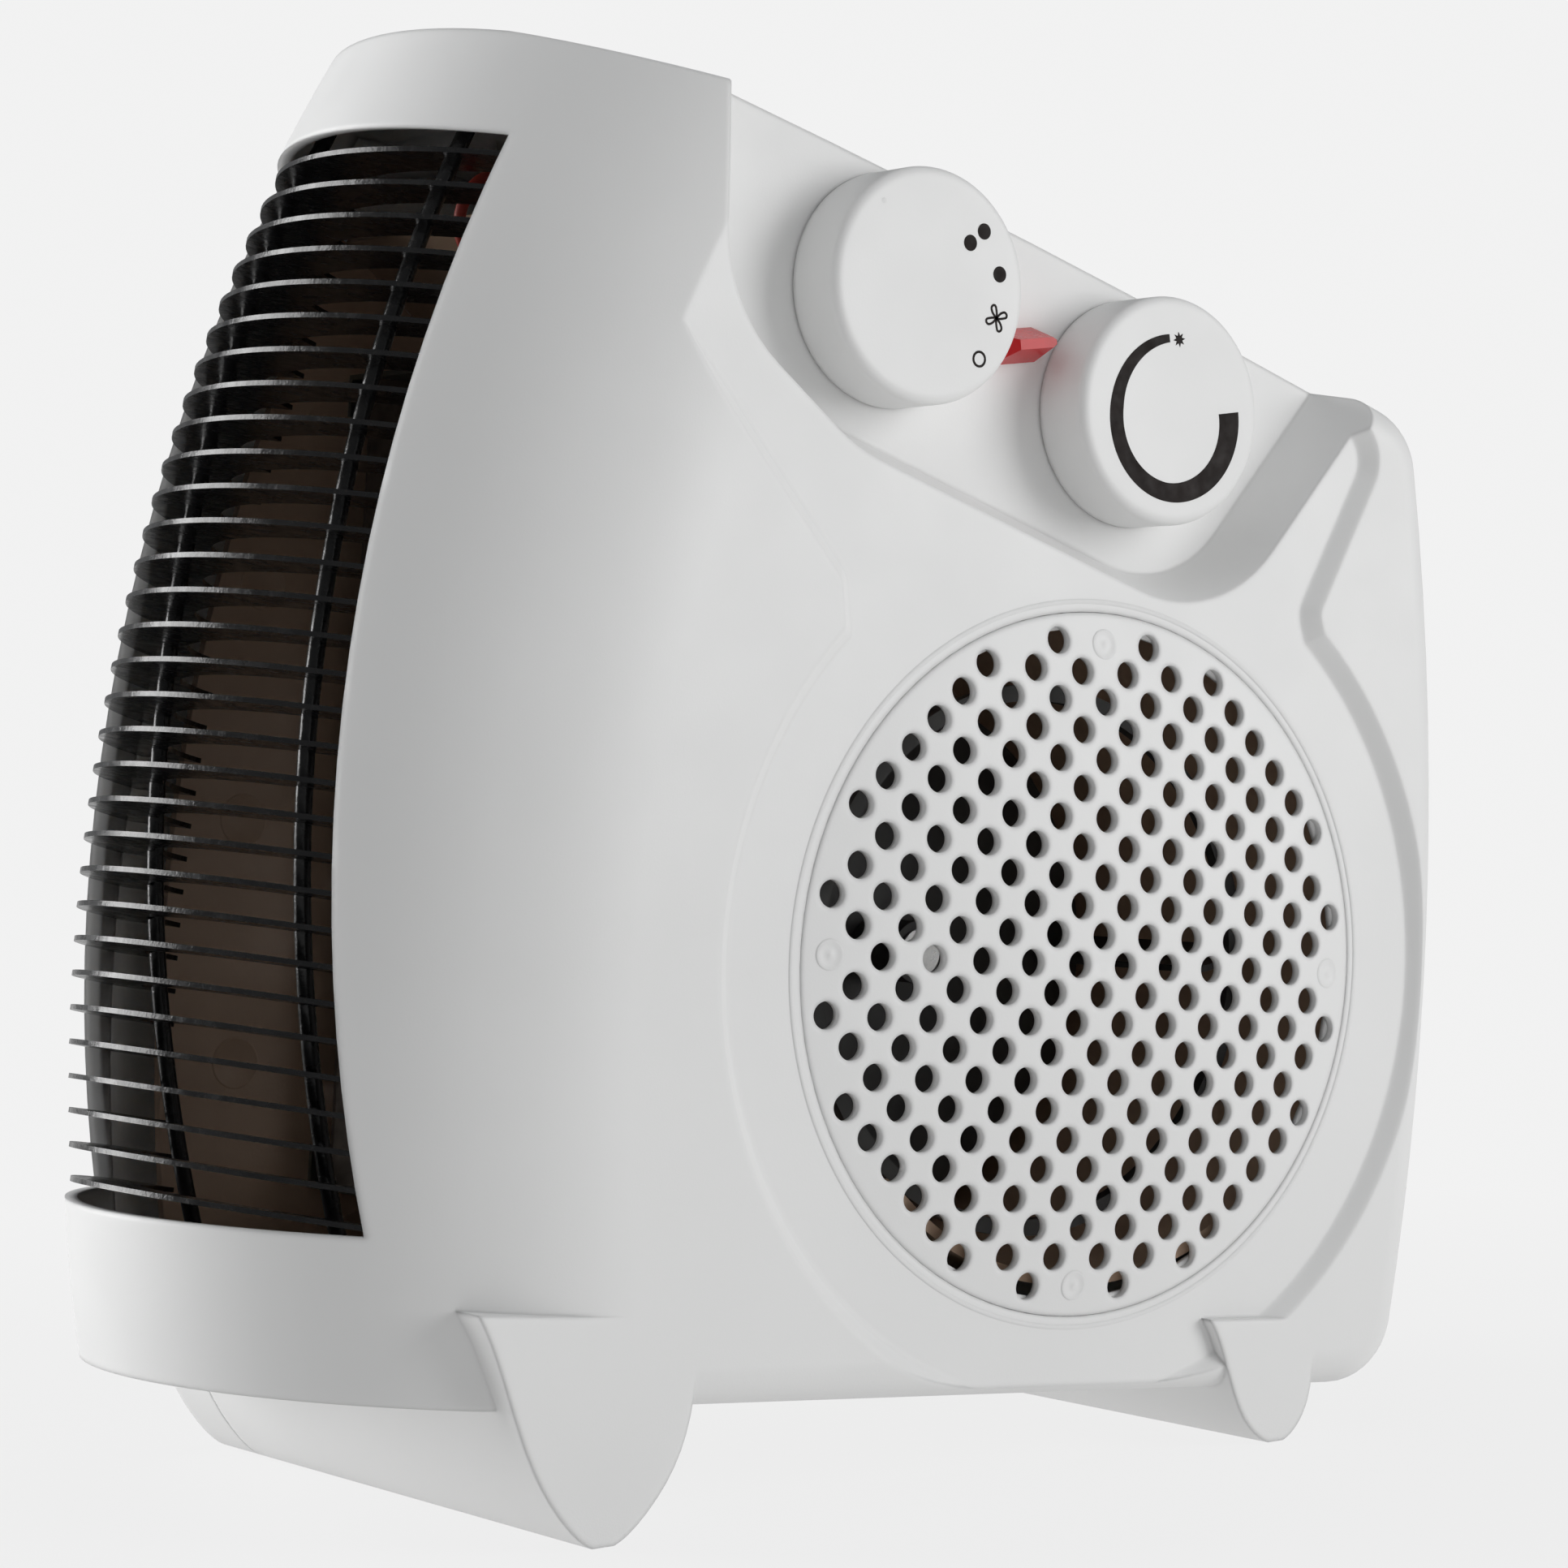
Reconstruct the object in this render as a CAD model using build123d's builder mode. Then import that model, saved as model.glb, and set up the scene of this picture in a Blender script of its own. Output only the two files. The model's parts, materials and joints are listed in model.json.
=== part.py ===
"""Upright fan heater: a radial blower behind a round side inlet pushes air out of a tall bowed front."""
import os
from math import atan2, cos, degrees, pi, radians, sin, sqrt, tan

from build123d import *

os.makedirs("parts", exist_ok=True)

# Casing. The body frame has its origin on the blower axis, x out of the inlet side, y to the rear, z up.
HALF_WIDTH = 65.0
SIDE_SUNK = 2.5
RECESS_CORNER = 24.0
SUNK_CORNER = 6.0
WALL = 2.2
SEAM_X = -50.0
SEAM_GAP = 0.05
FREE_GAP = 0.3
LEAN = 4.84
FLOOR_DROP = 91.9
BOW_RADIUS = 349.0
BOW_REACH = 166.0
BOW_HEIGHT = -10.0
BASE_Z = -78.2
REAR_RADIUS = 490.0
REAR_REACH = 86.0
REAR_HEIGHT = 4.0
REAR_CORNER = 14.0
TOP_FRONT = (-126.0, 160.0)
TOP_REAR_HEIGHT = 106.0
TOP_CROWN = 2.2
EDGE_ROUND = 7.0
HOOD_CROWN_Z = 160.3
HOOD_SHOULDER_Z = 147.0
HOOD_ROUND = 11.0

# Inlet and its grille.
GRILLE_RADIUS = 64.0
GRILLE_DOME = 4.8
GRILLE_THICK = 2.0
GRILLE_LIP = 3.0
GRILLE_GAP = 0.1
GRILLE_SEAT = 1.2
HOLE_PITCH = 7.5
HOLE_RADIUS = 2.5
HOLE_FIELD = 60.5
PIN_MARK_RADIUS = 58.3
SUNK_RADIUS = 79.5

# Outlet and its guard.
OUTLET_TOP = 140.3
OUTLET_BOTTOM = -50.0
OUTLET_CORNER_DROP = 2.6
OUTLET_TOP_HALF = 40.0
OUTLET_MID_HALF = 42.6
OUTLET_BOTTOM_HALF = 49.5
LOUVER_COUNT = 31
LOUVER_PITCH = 6.07
LOUVER_TOP = 136.7
LOUVER_DEPTH = 12.4
LOUVER_THICK = 0.9
LOUVER_RADIUS = 58.4
LOUVER_SETBACK = 0.8
LOUVER_TILT = 6.9
LOUVER_SPAN = 57.5
GUARD_ROD = 3.0
GUARD_ROD_PLACES = (-27.0, 27.0)
GUARD_ROD_BOW = 274.0
GUARD_ROD_FRONT = -143.8
GUARD_ROD_MIDDLE = 25.0

# Feet, drawn as seen from the side.
FOOT_TIP_SUNK = 0.35

# Screws that hold the far cover, as y and z; the last one is under the hood.
BOSS_PLACES = [(-70.0, -66.0), (70.0, -60.0), (68.0, 84.0), (-88.0, 146.5)]
BOSS_RADIUS = 4.0
HOOD_BOSS_DEPTH = 30.0
THREAD_BITE = 0.2
THREAD_DEPTH = 16.0
SCREW_HEAD = 2.8
COUNTERBORE = 8.0

# Controls.
RECESS_DEPTH = 12.0
KNOB_RADIUS = 21.1
KNOB_HEIGHT = 12.4
KNOB_GAP = 0.4
KNOB_ROUND = 1.6
KNOB_HUB = 7.5
SPINDLE_GRIP = 8.0
NUT_RADIUS = 7.5
NUT_HEIGHT = 2.5
SWITCH_AT = (-43.5, 118.8)
THERMOSTAT_AT = (13.3, 102.4)
SPINDLE_RADIUS = 3.0
BUSHING_RADIUS = 5.0
SPINDLE_CLEARANCE = 0.05
HOLE_CLEARANCE = 0.15
LENS_AT = (-14.0, 112.2)
LENS_LENGTH = 13.0
LENS_WIDTH = 6.4
LENS_FLANGE = 1.0
LENS_HEIGHT = 7.0
THERMOSTAT_DEPTH = 9.0
SWITCH_DEPTH = 18.0
LENS_EXTRA_TURN = 26.0

# Blower and motor.
IMPELLER_RADIUS = 51.0
BLADE_DEPTH = 11.0
BLADE_THICK = 1.2
BLADE_COUNT = 28
IMPELLER_BACK_X = -4.0
IMPELLER_FRONT_X = 46.0
SHAFT_RADIUS = 2.0
SHAFT_CLEARANCE = 0.04
ROTOR_RADIUS = 12.5
AIR_GAP = 0.5
STACK_BACK_X = -34.0
STACK_DEPTH = 18.0
MOTOR_PLATE_X = -46.0
PLATE_THICK = 2.0
PLATE_SETBACK = 35.0
DUCT_WALL = 2.0
SCREW_RADIUS = 1.5
MOTOR_SCREW_Y = 20.0
MOTOR_POSTS = [(-MOTOR_SCREW_Y, 0.0), (MOTOR_SCREW_Y, 0.0)]
PLATE_STANDS = [(-30.0, 60.0), (50.0, 50.0), (-80.0, 30.0), (20.0, -58.0)]
BRACKET_BACK_X = -41.0
BRACKET_THICK = 3.0
BRACKET_FRONT_X = -11.0
BEARING_RADIUS = 4.0
CORE_WIDTH = 52.0
CORE_HEIGHT = 64.0
CORE_LEG = 10.0
COIL_WINDOW = 26.0
COIL_Z = -38.0
RING_Z = 13.0
HUB_RADIUS = 6.0
HUB_FRONT_X = 12.0
SCROLL_TONGUE = 57.0
SCROLL_STEP = 6.0
DUCT_FRONT_Y = -100.0
DUCT_FRONT_LOW = -60.0

# Heating element.
HEATER_FRONT_Y = -98.0
HEATER_DEPTH = 22.0
HEATER_TOP = 104.0
HEATER_BOTTOM = -50.0
HEATER_HALF = 38.0
MICA = 1.0
WIRE_RADIUS = 0.45
WIRE_PITCH = 8.0
WIRE_RUNS = 8
WIRE_LAYER_GAP = 13.0
CROSS_PITCH = 39.0
FLANGE = 8.0
PLATE_OVERHANG = 6.0
TERMINAL_HEIGHT = 5.0
CUTOUT_X = 0.0
CUTOUT_RADIUS = 7.5
FUSE_RADIUS = 2.0

# Supply: gland centre as x and z, clamp and connector strip, and the routes of the leads.
GLAND_AT = (-57.0, -44.0)
GLAND_RADIUS = 5.0
GLAND_BORE = 3.6
GLAND_LIP = 1.6
CLAMP_Y = 66.0
CLAMP_HALF = 9.0
BLOCK_AT = (36.0, -40.0)
BLOCK_DEPTH = 9.0
LEAD_RADIUS = 1.1
SUPPLY_LEAD = [
    (-51.5, 36.0, -26.9), (-52.0, 38.0, -12.0), (-54.0, 48.0, 12.0), (-55.0, 61.0, 40.0), (-54.0, 67.0, 66.0),
    (-48.0, 60.0, 88.0), (-34.0, 40.0, 101.0), (-10.0, 14.0, 107.0), (5.0, -12.0, 110.5), (14.0, -30.0, 112.0),
    (23.0, -34.0, 112.0), (30.3, -34.0, 112.0),
]
HEATER_LEAD = [
    (30.3, -52.0, 124.0), (23.0, -52.0, 124.0), (14.0, -60.0, 126.5), (9.0, -74.0, 131.0), (6.0, -88.0, 137.0),
    (3.0, -101.5, 137.5), (1.0, -105.0, 127.0), (0.0, -97.0, 118.0), (0.0, -87.0, 116.5), (0.0, -87.0, 110.0),
]

# Numbers that follow from the sizes above.
SIDE_X = HALF_WIDTH - SIDE_SUNK
RECESS_X = SIDE_X - RECESS_DEPTH
BOW_Y = BOW_RADIUS - BOW_REACH
INNER_SIDE_X = SIDE_X - WALL
DUCT_NEAR_X = INNER_SIDE_X - FREE_GAP
WIDEST_X = SIDE_X + GRILLE_DOME
FRONT_MOST = BOW_Y * cos(radians(LEAN)) + BOW_HEIGHT * sin(radians(LEAN)) - BOW_RADIUS
REAR_CENTRE_Y = REAR_REACH - REAR_RADIUS
REAR_MOST = REAR_CENTRE_Y * cos(radians(LEAN)) + REAR_HEIGHT * sin(radians(LEAN)) + REAR_RADIUS
BODY = Plane(
    origin=((HALF_WIDTH - WIDEST_X) / 2, -(FRONT_MOST + REAR_MOST) / 2, FLOOR_DROP),
    x_dir=(1, 0, 0),
    z_dir=(0, sin(radians(LEAN)), cos(radians(LEAN))),
)


def side(x):
    """Plane parallel to the side walls at x; its axes are the body's y and z, its normal points to +x."""
    return Plane(origin=BODY.from_local_coords((x, 0, 0)), x_dir=BODY.y_dir, z_dir=BODY.x_dir)


def level(z):
    """Plane square to the body's z at height z; its axes are the body's x and y."""
    return BODY.offset(z)


def facing(y):
    """Plane across the body at depth y; its axes are the body's x and z, its normal points to the front."""
    return Plane(origin=BODY.from_local_coords((0, y, 0)), x_dir=BODY.x_dir, z_dir=-BODY.y_dir)


def save(piece, node):
    """Label one finished piece and write it."""
    piece.part.label = node
    export_step(piece.part, f"parts/{node}.step")
    print(node, len(piece.part.solids()), round(piece.part.volume, 1))


def bow_y(z):
    """Depth of the bowed front at height z on the middle of the nose."""
    return BOW_Y - sqrt(BOW_RADIUS**2 - (z - BOW_HEIGHT) ** 2)


def rear_y(z):
    """Depth of the bulged rear at height z."""
    return REAR_CENTRE_Y + sqrt(REAR_RADIUS**2 - (z - REAR_HEIGHT) ** 2)


def floor_z(y):
    """Height of the floor under depth y, in the leaning body frame."""
    return (y * sin(radians(LEAN)) - FLOOR_DROP) / cos(radians(LEAN))


def side_outline(x, inset):
    """Closed side view of the casing on the side plane at x, its edge moved in by inset."""
    top_rear = (rear_y(TOP_REAR_HEIGHT), TOP_REAR_HEIGHT)
    base_rear = (rear_y(BASE_Z), BASE_Z)
    ahead_y = -BOW_REACH - 20.0
    top_mid = ((TOP_FRONT[0] + top_rear[0]) / 2, (TOP_FRONT[1] + top_rear[1]) / 2 + TOP_CROWN)
    with BuildSketch(side(x)) as outline:
        with BuildLine():
            Line((ahead_y, BASE_Z), base_rear)
            ThreePointArc(base_rear, (REAR_REACH, REAR_HEIGHT), top_rear)
            ThreePointArc(top_rear, top_mid, TOP_FRONT)
            Line(TOP_FRONT, (ahead_y, TOP_FRONT[1] + 10.0))
            Line((ahead_y, TOP_FRONT[1] + 10.0), (ahead_y, BASE_Z))
        make_face()
        offset(amount=-inset, kind=Kind.INTERSECTION)
        fillet(vertices().sort_by(Axis.X)[-2:], REAR_CORNER - inset)
    return outline.sketch


def make_envelope(inset, near_x):
    """Solid body of the casing, its skin moved in by inset and cut flat at near_x."""
    far_x = -HALF_WIDTH + inset
    nose = HALF_WIDTH - inset
    reach = BOW_RADIUS - inset
    with BuildPart() as body:
        extrude(side_outline(far_x, inset), amount=nose - far_x)
        rims = body.faces().sort_by(Axis.X)
        fillet(rims[0].edges() + rims[-1].edges(), EDGE_ROUND - inset)
        with BuildSketch(level(BOW_HEIGHT)):
            with BuildLine():
                ThreePointArc(
                    (-nose, BOW_Y - reach + nose), (0, BOW_Y - reach), (nose, BOW_Y - reach + nose)
                )
                Polyline(
                    (nose, BOW_Y - reach + nose), (nose, BOW_Y), (-nose, BOW_Y), (-nose, BOW_Y - reach + nose)
                )
            make_face()
        bow_axis = Axis(BODY.from_local_coords((0, BOW_Y, BOW_HEIGHT)), BODY.x_dir)
        revolve(axis=bow_axis, mode=Mode.INTERSECT)
        with BuildSketch(facing(0)):
            with BuildLine():
                shoulder = HOOD_SHOULDER_Z - inset
                ThreePointArc((-nose, shoulder), (0, HOOD_CROWN_Z - inset), (nose, shoulder))
                Polyline((nose, shoulder), (nose, 2 * BASE_Z), (-nose, 2 * BASE_Z), (-nose, shoulder))
            make_face()
            fillet(vertices().group_by(Axis.Y)[-1], HOOD_ROUND - inset)
        extrude(amount=2 * BOW_REACH, both=True, mode=Mode.INTERSECT)
        if near_x < nose:
            split(bisect_by=side(near_x), keep=Keep.BOTTOM)
    return body.part


def make_recess(grow):
    """Space of the knob recess, from its floor outward, grown by grow for the cavity behind it."""
    with BuildPart() as space:
        with BuildSketch(side(RECESS_X - grow)) as outline:
            Polygon((-81.5, 170.0), (-81.5, 113.0), (-55.0, 93.5), (26.0, 69.1), (104.5, 170.0), align=None)
            fillet(outline.vertices().sort_by(Axis.Y)[:3], RECESS_CORNER)
            if grow:
                offset(amount=grow)
        extrude(amount=HALF_WIDTH - RECESS_X + grow + 4.0, taper=-24)
    return space.part


def make_sunk_face():
    """Space of the shallow sunk area round the inlet, with its flare up to the knob recess."""
    front_notch, front_end = (-58.0, 66.5), (-98.0, 110.0)
    rear_notch, rear_end = (47.5, 68.0), (62.0, 98.0)
    with BuildPart() as space:
        with BuildSketch(side(SIDE_X)) as outline:
            Circle(SUNK_RADIUS)
            Polygon(
                (-55.0, 45.0), front_notch, front_end, (-88.0, 128.0), (56.0, 106.0), rear_end, rear_notch,
                (52.0, 55.0), align=None,
            )
            for corner in (front_notch, front_end, rear_notch, rear_end):
                fillet(outline.vertices().sort_by_distance((*corner, 0))[0], SUNK_CORNER)
        extrude(amount=SIDE_SUNK + 1.0, taper=-50)
    return space.part


def make_foot(profile):
    """Solid foot along the whole width, drawn by its side profile and cut flat on the floor."""
    with BuildPart() as foot:
        with BuildSketch(side(-HALF_WIDTH)):
            with BuildLine():
                Spline(*profile)
                Line(profile[-1], profile[0])
            make_face()
        extrude(amount=2 * HALF_WIDTH)
        split(bisect_by=Plane.XY, keep=Keep.TOP)
    return foot.part


def front_foot_profile():
    """Points of the front foot, from the top of its front edge round the tip to its rear edge."""
    tip = (-101.5, floor_z(-101.5) - FOOT_TIP_SUNK)
    return [(-127.2, -61.5), (-116.8, -84.0), (-108.0, -97.0), tip, (-92.0, -95.4), (-84.6, -82.0), (-84.4, -62.5)]


def rear_foot_profile():
    """Points of the rear foot, in the same order."""
    tip = (49.5, floor_z(49.5) - FOOT_TIP_SUNK)
    return [(31.8, -65.0), (38.6, -78.8), (44.0, -86.3), tip, (55.0, -84.6), (57.8, -76.0), (58.1, -65.0)]


def make_housing():
    """Near housing: the inlet side with the nose, the outlet, the knob recess and most of the feet."""
    outer = make_envelope(0.0, HALF_WIDTH + 1.0)
    cavity = make_envelope(WALL, INNER_SIDE_X)
    low_x = SEAM_X + SEAM_GAP
    seat_x = SIDE_X - GRILLE_SEAT
    with BuildPart() as housing:
        add(outer)
        add(make_sunk_face(), mode=Mode.SUBTRACT)
        add(make_recess(0.0), mode=Mode.SUBTRACT)
        add([make_foot(front_foot_profile()), make_foot(rear_foot_profile())])
        add(cavity - make_recess(WALL), mode=Mode.SUBTRACT)
        split(bisect_by=side(low_x), keep=Keep.TOP)
        extrude(boss_sketch(low_x, BOSS_RADIUS, 0, 3), amount=INNER_SIDE_X + 1.0 - low_x)
        extrude(boss_sketch(low_x, BOSS_RADIUS, 3, 4), amount=HOOD_BOSS_DEPTH)
        extrude(boss_sketch(low_x, SCREW_RADIUS - THREAD_BITE, 0, 4), amount=THREAD_DEPTH, mode=Mode.SUBTRACT)
        extrude(outlet_sketch(), amount=120.0, mode=Mode.SUBTRACT)
        extrude(disc_sketch(INNER_SIDE_X - 1.0, GRILLE_RADIUS - GRILLE_LIP), amount=10.0, mode=Mode.SUBTRACT)
        extrude(disc_sketch(seat_x, GRILLE_RADIUS + GRILLE_GAP), amount=10.0, mode=Mode.SUBTRACT)
        extrude(control_holes_sketch(), amount=WALL + 2.0, mode=Mode.SUBTRACT)
    return housing


def outlet_sketch():
    """Front view of the tall outlet."""
    corner_top = OUTLET_TOP - OUTLET_CORNER_DROP
    middle = (OUTLET_TOP + OUTLET_BOTTOM) / 2
    with BuildSketch(facing(bow_y(OUTLET_TOP) + 55.0)) as outlet:
        with BuildLine():
            ThreePointArc((-OUTLET_TOP_HALF, corner_top), (0, OUTLET_TOP), (OUTLET_TOP_HALF, corner_top))
            ThreePointArc(
                (OUTLET_TOP_HALF, corner_top), (OUTLET_MID_HALF, middle), (OUTLET_BOTTOM_HALF, OUTLET_BOTTOM)
            )
            Line((OUTLET_BOTTOM_HALF, OUTLET_BOTTOM), (-OUTLET_BOTTOM_HALF, OUTLET_BOTTOM))
            ThreePointArc(
                (-OUTLET_BOTTOM_HALF, OUTLET_BOTTOM), (-OUTLET_MID_HALF, middle), (-OUTLET_TOP_HALF, corner_top)
            )
        make_face()
    return outlet.sketch


def disc_sketch(x, radius, place=(0.0, 0.0)):
    """Round disc on the side plane at x, centred on place in y and z."""
    with BuildSketch(side(x)) as disc:
        with Locations(place):
            Circle(radius)
    return disc.sketch


def lens_turn():
    """Angle of the lens, which lies along the line between the two knobs, a little steeper."""
    return degrees(atan2(THERMOSTAT_AT[1] - SWITCH_AT[1], THERMOSTAT_AT[0] - SWITCH_AT[0])) + LENS_EXTRA_TURN


def control_holes_sketch():
    """Holes for the two threaded control bushings and the window of the pilot lens."""
    with BuildSketch(side(RECESS_X - WALL - 1.0)) as holes:
        with Locations(SWITCH_AT, THERMOSTAT_AT):
            Circle(BUSHING_RADIUS + HOLE_CLEARANCE)
        with Locations(Location((LENS_AT[0], LENS_AT[1], 0), (0, 0, lens_turn()))):
            Rectangle(LENS_LENGTH - 2 * LENS_FLANGE, LENS_WIDTH - 2 * LENS_FLANGE)
    return holes.sketch


def boss_sketch(x, radius, first, last):
    """Discs at the case screws numbered first to last."""
    with BuildSketch(side(x)) as discs:
        with Locations(BOSS_PLACES[first:last]):
            Circle(radius)
    return discs.sketch


def make_cover():
    """Far cover: the shallow other half of the casing, with the feet's ends and the screw holes."""
    outer = make_envelope(0.0, HALF_WIDTH + 1.0)
    cavity = make_envelope(WALL, INNER_SIDE_X)
    far_x = -HALF_WIDTH
    with BuildPart() as bosses:
        extrude(boss_sketch(far_x + 1.0, BOSS_RADIUS, 0, 4), amount=SEAM_X - far_x - 1.0)
        add(outer, mode=Mode.INTERSECT)
    with BuildPart() as cover:
        add(outer)
        add([make_foot(front_foot_profile()), make_foot(rear_foot_profile())])
        add(cavity, mode=Mode.SUBTRACT)
        split(bisect_by=side(SEAM_X), keep=Keep.BOTTOM)
        add(bosses.part)
        extrude(boss_sketch(far_x - 1.0, SCREW_RADIUS + HOLE_CLEARANCE, 0, 4), amount=30.0, mode=Mode.SUBTRACT)
        extrude(boss_sketch(far_x - 1.0, SCREW_HEAD + 0.3, 0, 4), amount=COUNTERBORE + 1.0, mode=Mode.SUBTRACT)
    return cover


def hole_places():
    """Centres of the grille's holes: a square net turned by 45 degrees, kept inside the hole field."""
    step = HOLE_PITCH / sqrt(2)
    reach = int(HOLE_FIELD / step) + 1
    places = []
    for i in range(-reach, reach + 1):
        for j in range(-reach, reach + 1):
            away = step * sqrt(i * i + j * j)
            on_pin_mark = i * j == 0 and abs(away - PIN_MARK_RADIUS) < step / 2
            if (i + j) % 2 and away < HOLE_FIELD and not on_pin_mark:
                places.append((i * step, j * step))
    return places


def cap_waist(top_x, rim_x, rim):
    """Point halfway out on the round cap that has its crown at top_x and its rim at rim_x."""
    sag = top_x - rim_x
    cap_radius = (rim**2 + sag**2) / (2 * sag)
    return (top_x - cap_radius + sqrt(cap_radius**2 - rim**2 / 4), rim / 2)


def make_grille():
    """Domed inlet disc with its round holes, seated in the near wall."""
    inner_rim = GRILLE_RADIUS - GRILLE_LIP - GRILLE_GAP
    seat_x = SIDE_X - GRILLE_SEAT
    top_x = SIDE_X + GRILLE_DOME
    back_x = top_x - GRILLE_THICK
    with BuildPart() as grille:
        with BuildSketch(level(0)):
            with BuildLine():
                ThreePointArc((SIDE_X, GRILLE_RADIUS), cap_waist(top_x, SIDE_X, GRILLE_RADIUS), (top_x, 0))
                Line((top_x, 0), (back_x, 0))
                ThreePointArc((back_x, 0), cap_waist(back_x, seat_x, inner_rim), (seat_x, inner_rim))
                Polyline((seat_x, inner_rim), (seat_x, GRILLE_RADIUS), (SIDE_X, GRILLE_RADIUS))
            make_face()
        revolve(axis=Axis(BODY.origin, BODY.x_dir))
        with BuildSketch(side(seat_x - 1.0)):
            with Locations(hole_places()):
                Circle(HOLE_RADIUS)
        extrude(amount=GRILLE_DOME + 6.0, mode=Mode.SUBTRACT)
    return grille


def louver_plane(count):
    """Tilted plane of one louver: origin where its front edge crosses the middle, y to the rear."""
    z = LOUVER_TOP - count * LOUVER_PITCH
    tilt = radians(LOUVER_TILT)
    start = BODY.from_local_coords((0, bow_y(z) + LOUVER_SETBACK, z))
    normal = BODY.z_dir * cos(tilt) + BODY.y_dir * sin(tilt)
    return Plane(origin=start, x_dir=BODY.x_dir, z_dir=normal)


def guard_rod_path(x):
    """Line of one upright guard rod: an arc in a plane at x, bowed forward at the middle of its height."""
    places = []
    for z in (HOOD_CROWN_Z + 5.0, GUARD_ROD_MIDDLE, BASE_Z - 5.0):
        drop = GUARD_ROD_BOW - sqrt(GUARD_ROD_BOW ** 2 - (z - GUARD_ROD_MIDDLE) ** 2)
        places.append(BODY.from_local_coords((x, GUARD_ROD_FRONT + drop, z)))
    with BuildLine() as path:
        ThreePointArc(*places)
    return path.line


def make_guard_rods():
    """Upright rods behind the louvers, held between the hood and the bottom of the housing."""
    with BuildPart() as rods:
        for x in GUARD_ROD_PLACES:
            path = guard_rod_path(x)
            with BuildSketch(Plane(origin=path @ 0, z_dir=path % 0)):
                Circle(GUARD_ROD / 2)
            sweep(path=path)
        add(make_envelope(WALL, INNER_SIDE_X), mode=Mode.INTERSECT)
    return rods


def make_louvers(housing, rods):
    """Curved flat louvers, notched round the rods that carry them and trimmed to the nose's inner wall."""
    span = radians(LOUVER_SPAN)
    inner = LOUVER_RADIUS - LOUVER_DEPTH
    with BuildPart() as louvers:
        for count in range(LOUVER_COUNT):
            with BuildSketch(louver_plane(count)):
                with BuildLine():
                    centre = LOUVER_RADIUS
                    ends = [(r * sin(span), centre - r * cos(span)) for r in (LOUVER_RADIUS, inner)]
                    ThreePointArc((-ends[0][0], ends[0][1]), (0, 0), ends[0])
                    Line(ends[0], ends[1])
                    ThreePointArc(ends[1], (0, LOUVER_DEPTH), (-ends[1][0], ends[1][1]))
                    Line((-ends[1][0], ends[1][1]), (-ends[0][0], ends[0][1]))
                make_face()
            extrude(amount=-LOUVER_THICK)
        add([housing.part, rods.part], mode=Mode.SUBTRACT)
    return louvers


def make_knob(place):
    """Round push-on knob with a rounded rim and a hollow hub."""
    base_x = RECESS_X + KNOB_GAP
    with BuildPart() as knob:
        extrude(disc_sketch(base_x, KNOB_RADIUS, place), amount=KNOB_HEIGHT)
        rim = knob.edges().filter_by(GeomType.CIRCLE).sort_by(Axis.X)[-1]
        fillet(rim, KNOB_ROUND)
        with BuildSketch(side(base_x)):
            with Locations(place):
                Circle(KNOB_RADIUS - WALL)
                Circle(KNOB_HUB, mode=Mode.SUBTRACT)
        extrude(amount=KNOB_HEIGHT - WALL, mode=Mode.SUBTRACT)
        extrude(disc_sketch(base_x, SPINDLE_RADIUS, place), amount=SPINDLE_GRIP, mode=Mode.SUBTRACT)
        extrude(disc_sketch(base_x, NUT_RADIUS + 1.0, place), amount=NUT_HEIGHT + 1.0, mode=Mode.SUBTRACT)
    return knob


def make_spindle(place, back_x):
    """Turning spindle of one control, from back_x out into its knob."""
    with BuildPart() as spindle:
        extrude(disc_sketch(back_x, SPINDLE_RADIUS, place), amount=RECESS_X + KNOB_GAP + SPINDLE_GRIP - back_x)
    return spindle


def make_bushing_body(place, length, width, depth, turn):
    """Closed control body behind the recess floor, with its threaded bushing round the spindle."""
    front_x = RECESS_X - WALL
    with BuildPart() as body:
        with BuildSketch(side(front_x - depth)):
            with Locations(Location((place[0], place[1], 0), (0, 0, turn))):
                RectangleRounded(length, width, 2.0)
        extrude(amount=depth)
        extrude(disc_sketch(front_x, BUSHING_RADIUS, place), amount=WALL + NUT_HEIGHT + 0.2)
        bore = SPINDLE_RADIUS + SPINDLE_CLEARANCE
        extrude(disc_sketch(front_x - depth - 1.0, bore, place), amount=depth + 12.0, mode=Mode.SUBTRACT)
    return body


def make_control_nuts():
    """Hexagon nuts that clamp the two controls to the recess floor."""
    with BuildPart() as nuts:
        with BuildSketch(side(RECESS_X)):
            with Locations(SWITCH_AT, THERMOSTAT_AT):
                RegularPolygon(NUT_RADIUS, 6)
                Circle(BUSHING_RADIUS, mode=Mode.SUBTRACT)
        extrude(amount=NUT_HEIGHT)
    return nuts


def make_bimetal():
    """Bimetal blade and contact arm of the room thermostat, on the back of its body."""
    back_x = RECESS_X - WALL - THERMOSTAT_DEPTH
    with BuildPart() as blades:
        with BuildSketch(side(back_x - 4.0)):
            with Locations((THERMOSTAT_AT[0] - 9.0, THERMOSTAT_AT[1])):
                Rectangle(7.0, 8.0)
        extrude(amount=4.0)
        for lift in (4.0, 6.5):
            with BuildSketch(side(back_x - lift)):
                with Locations((THERMOSTAT_AT[0] + 2.0, THERMOSTAT_AT[1])):
                    Rectangle(28.0, 5.0)
            extrude(amount=-0.6)
        with BuildSketch(side(back_x - 6.5)):
            with Locations((THERMOSTAT_AT[0] - 9.0, THERMOSTAT_AT[1])):
                Rectangle(6.0, 5.0)
        extrude(amount=2.5)
    return blades


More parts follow.
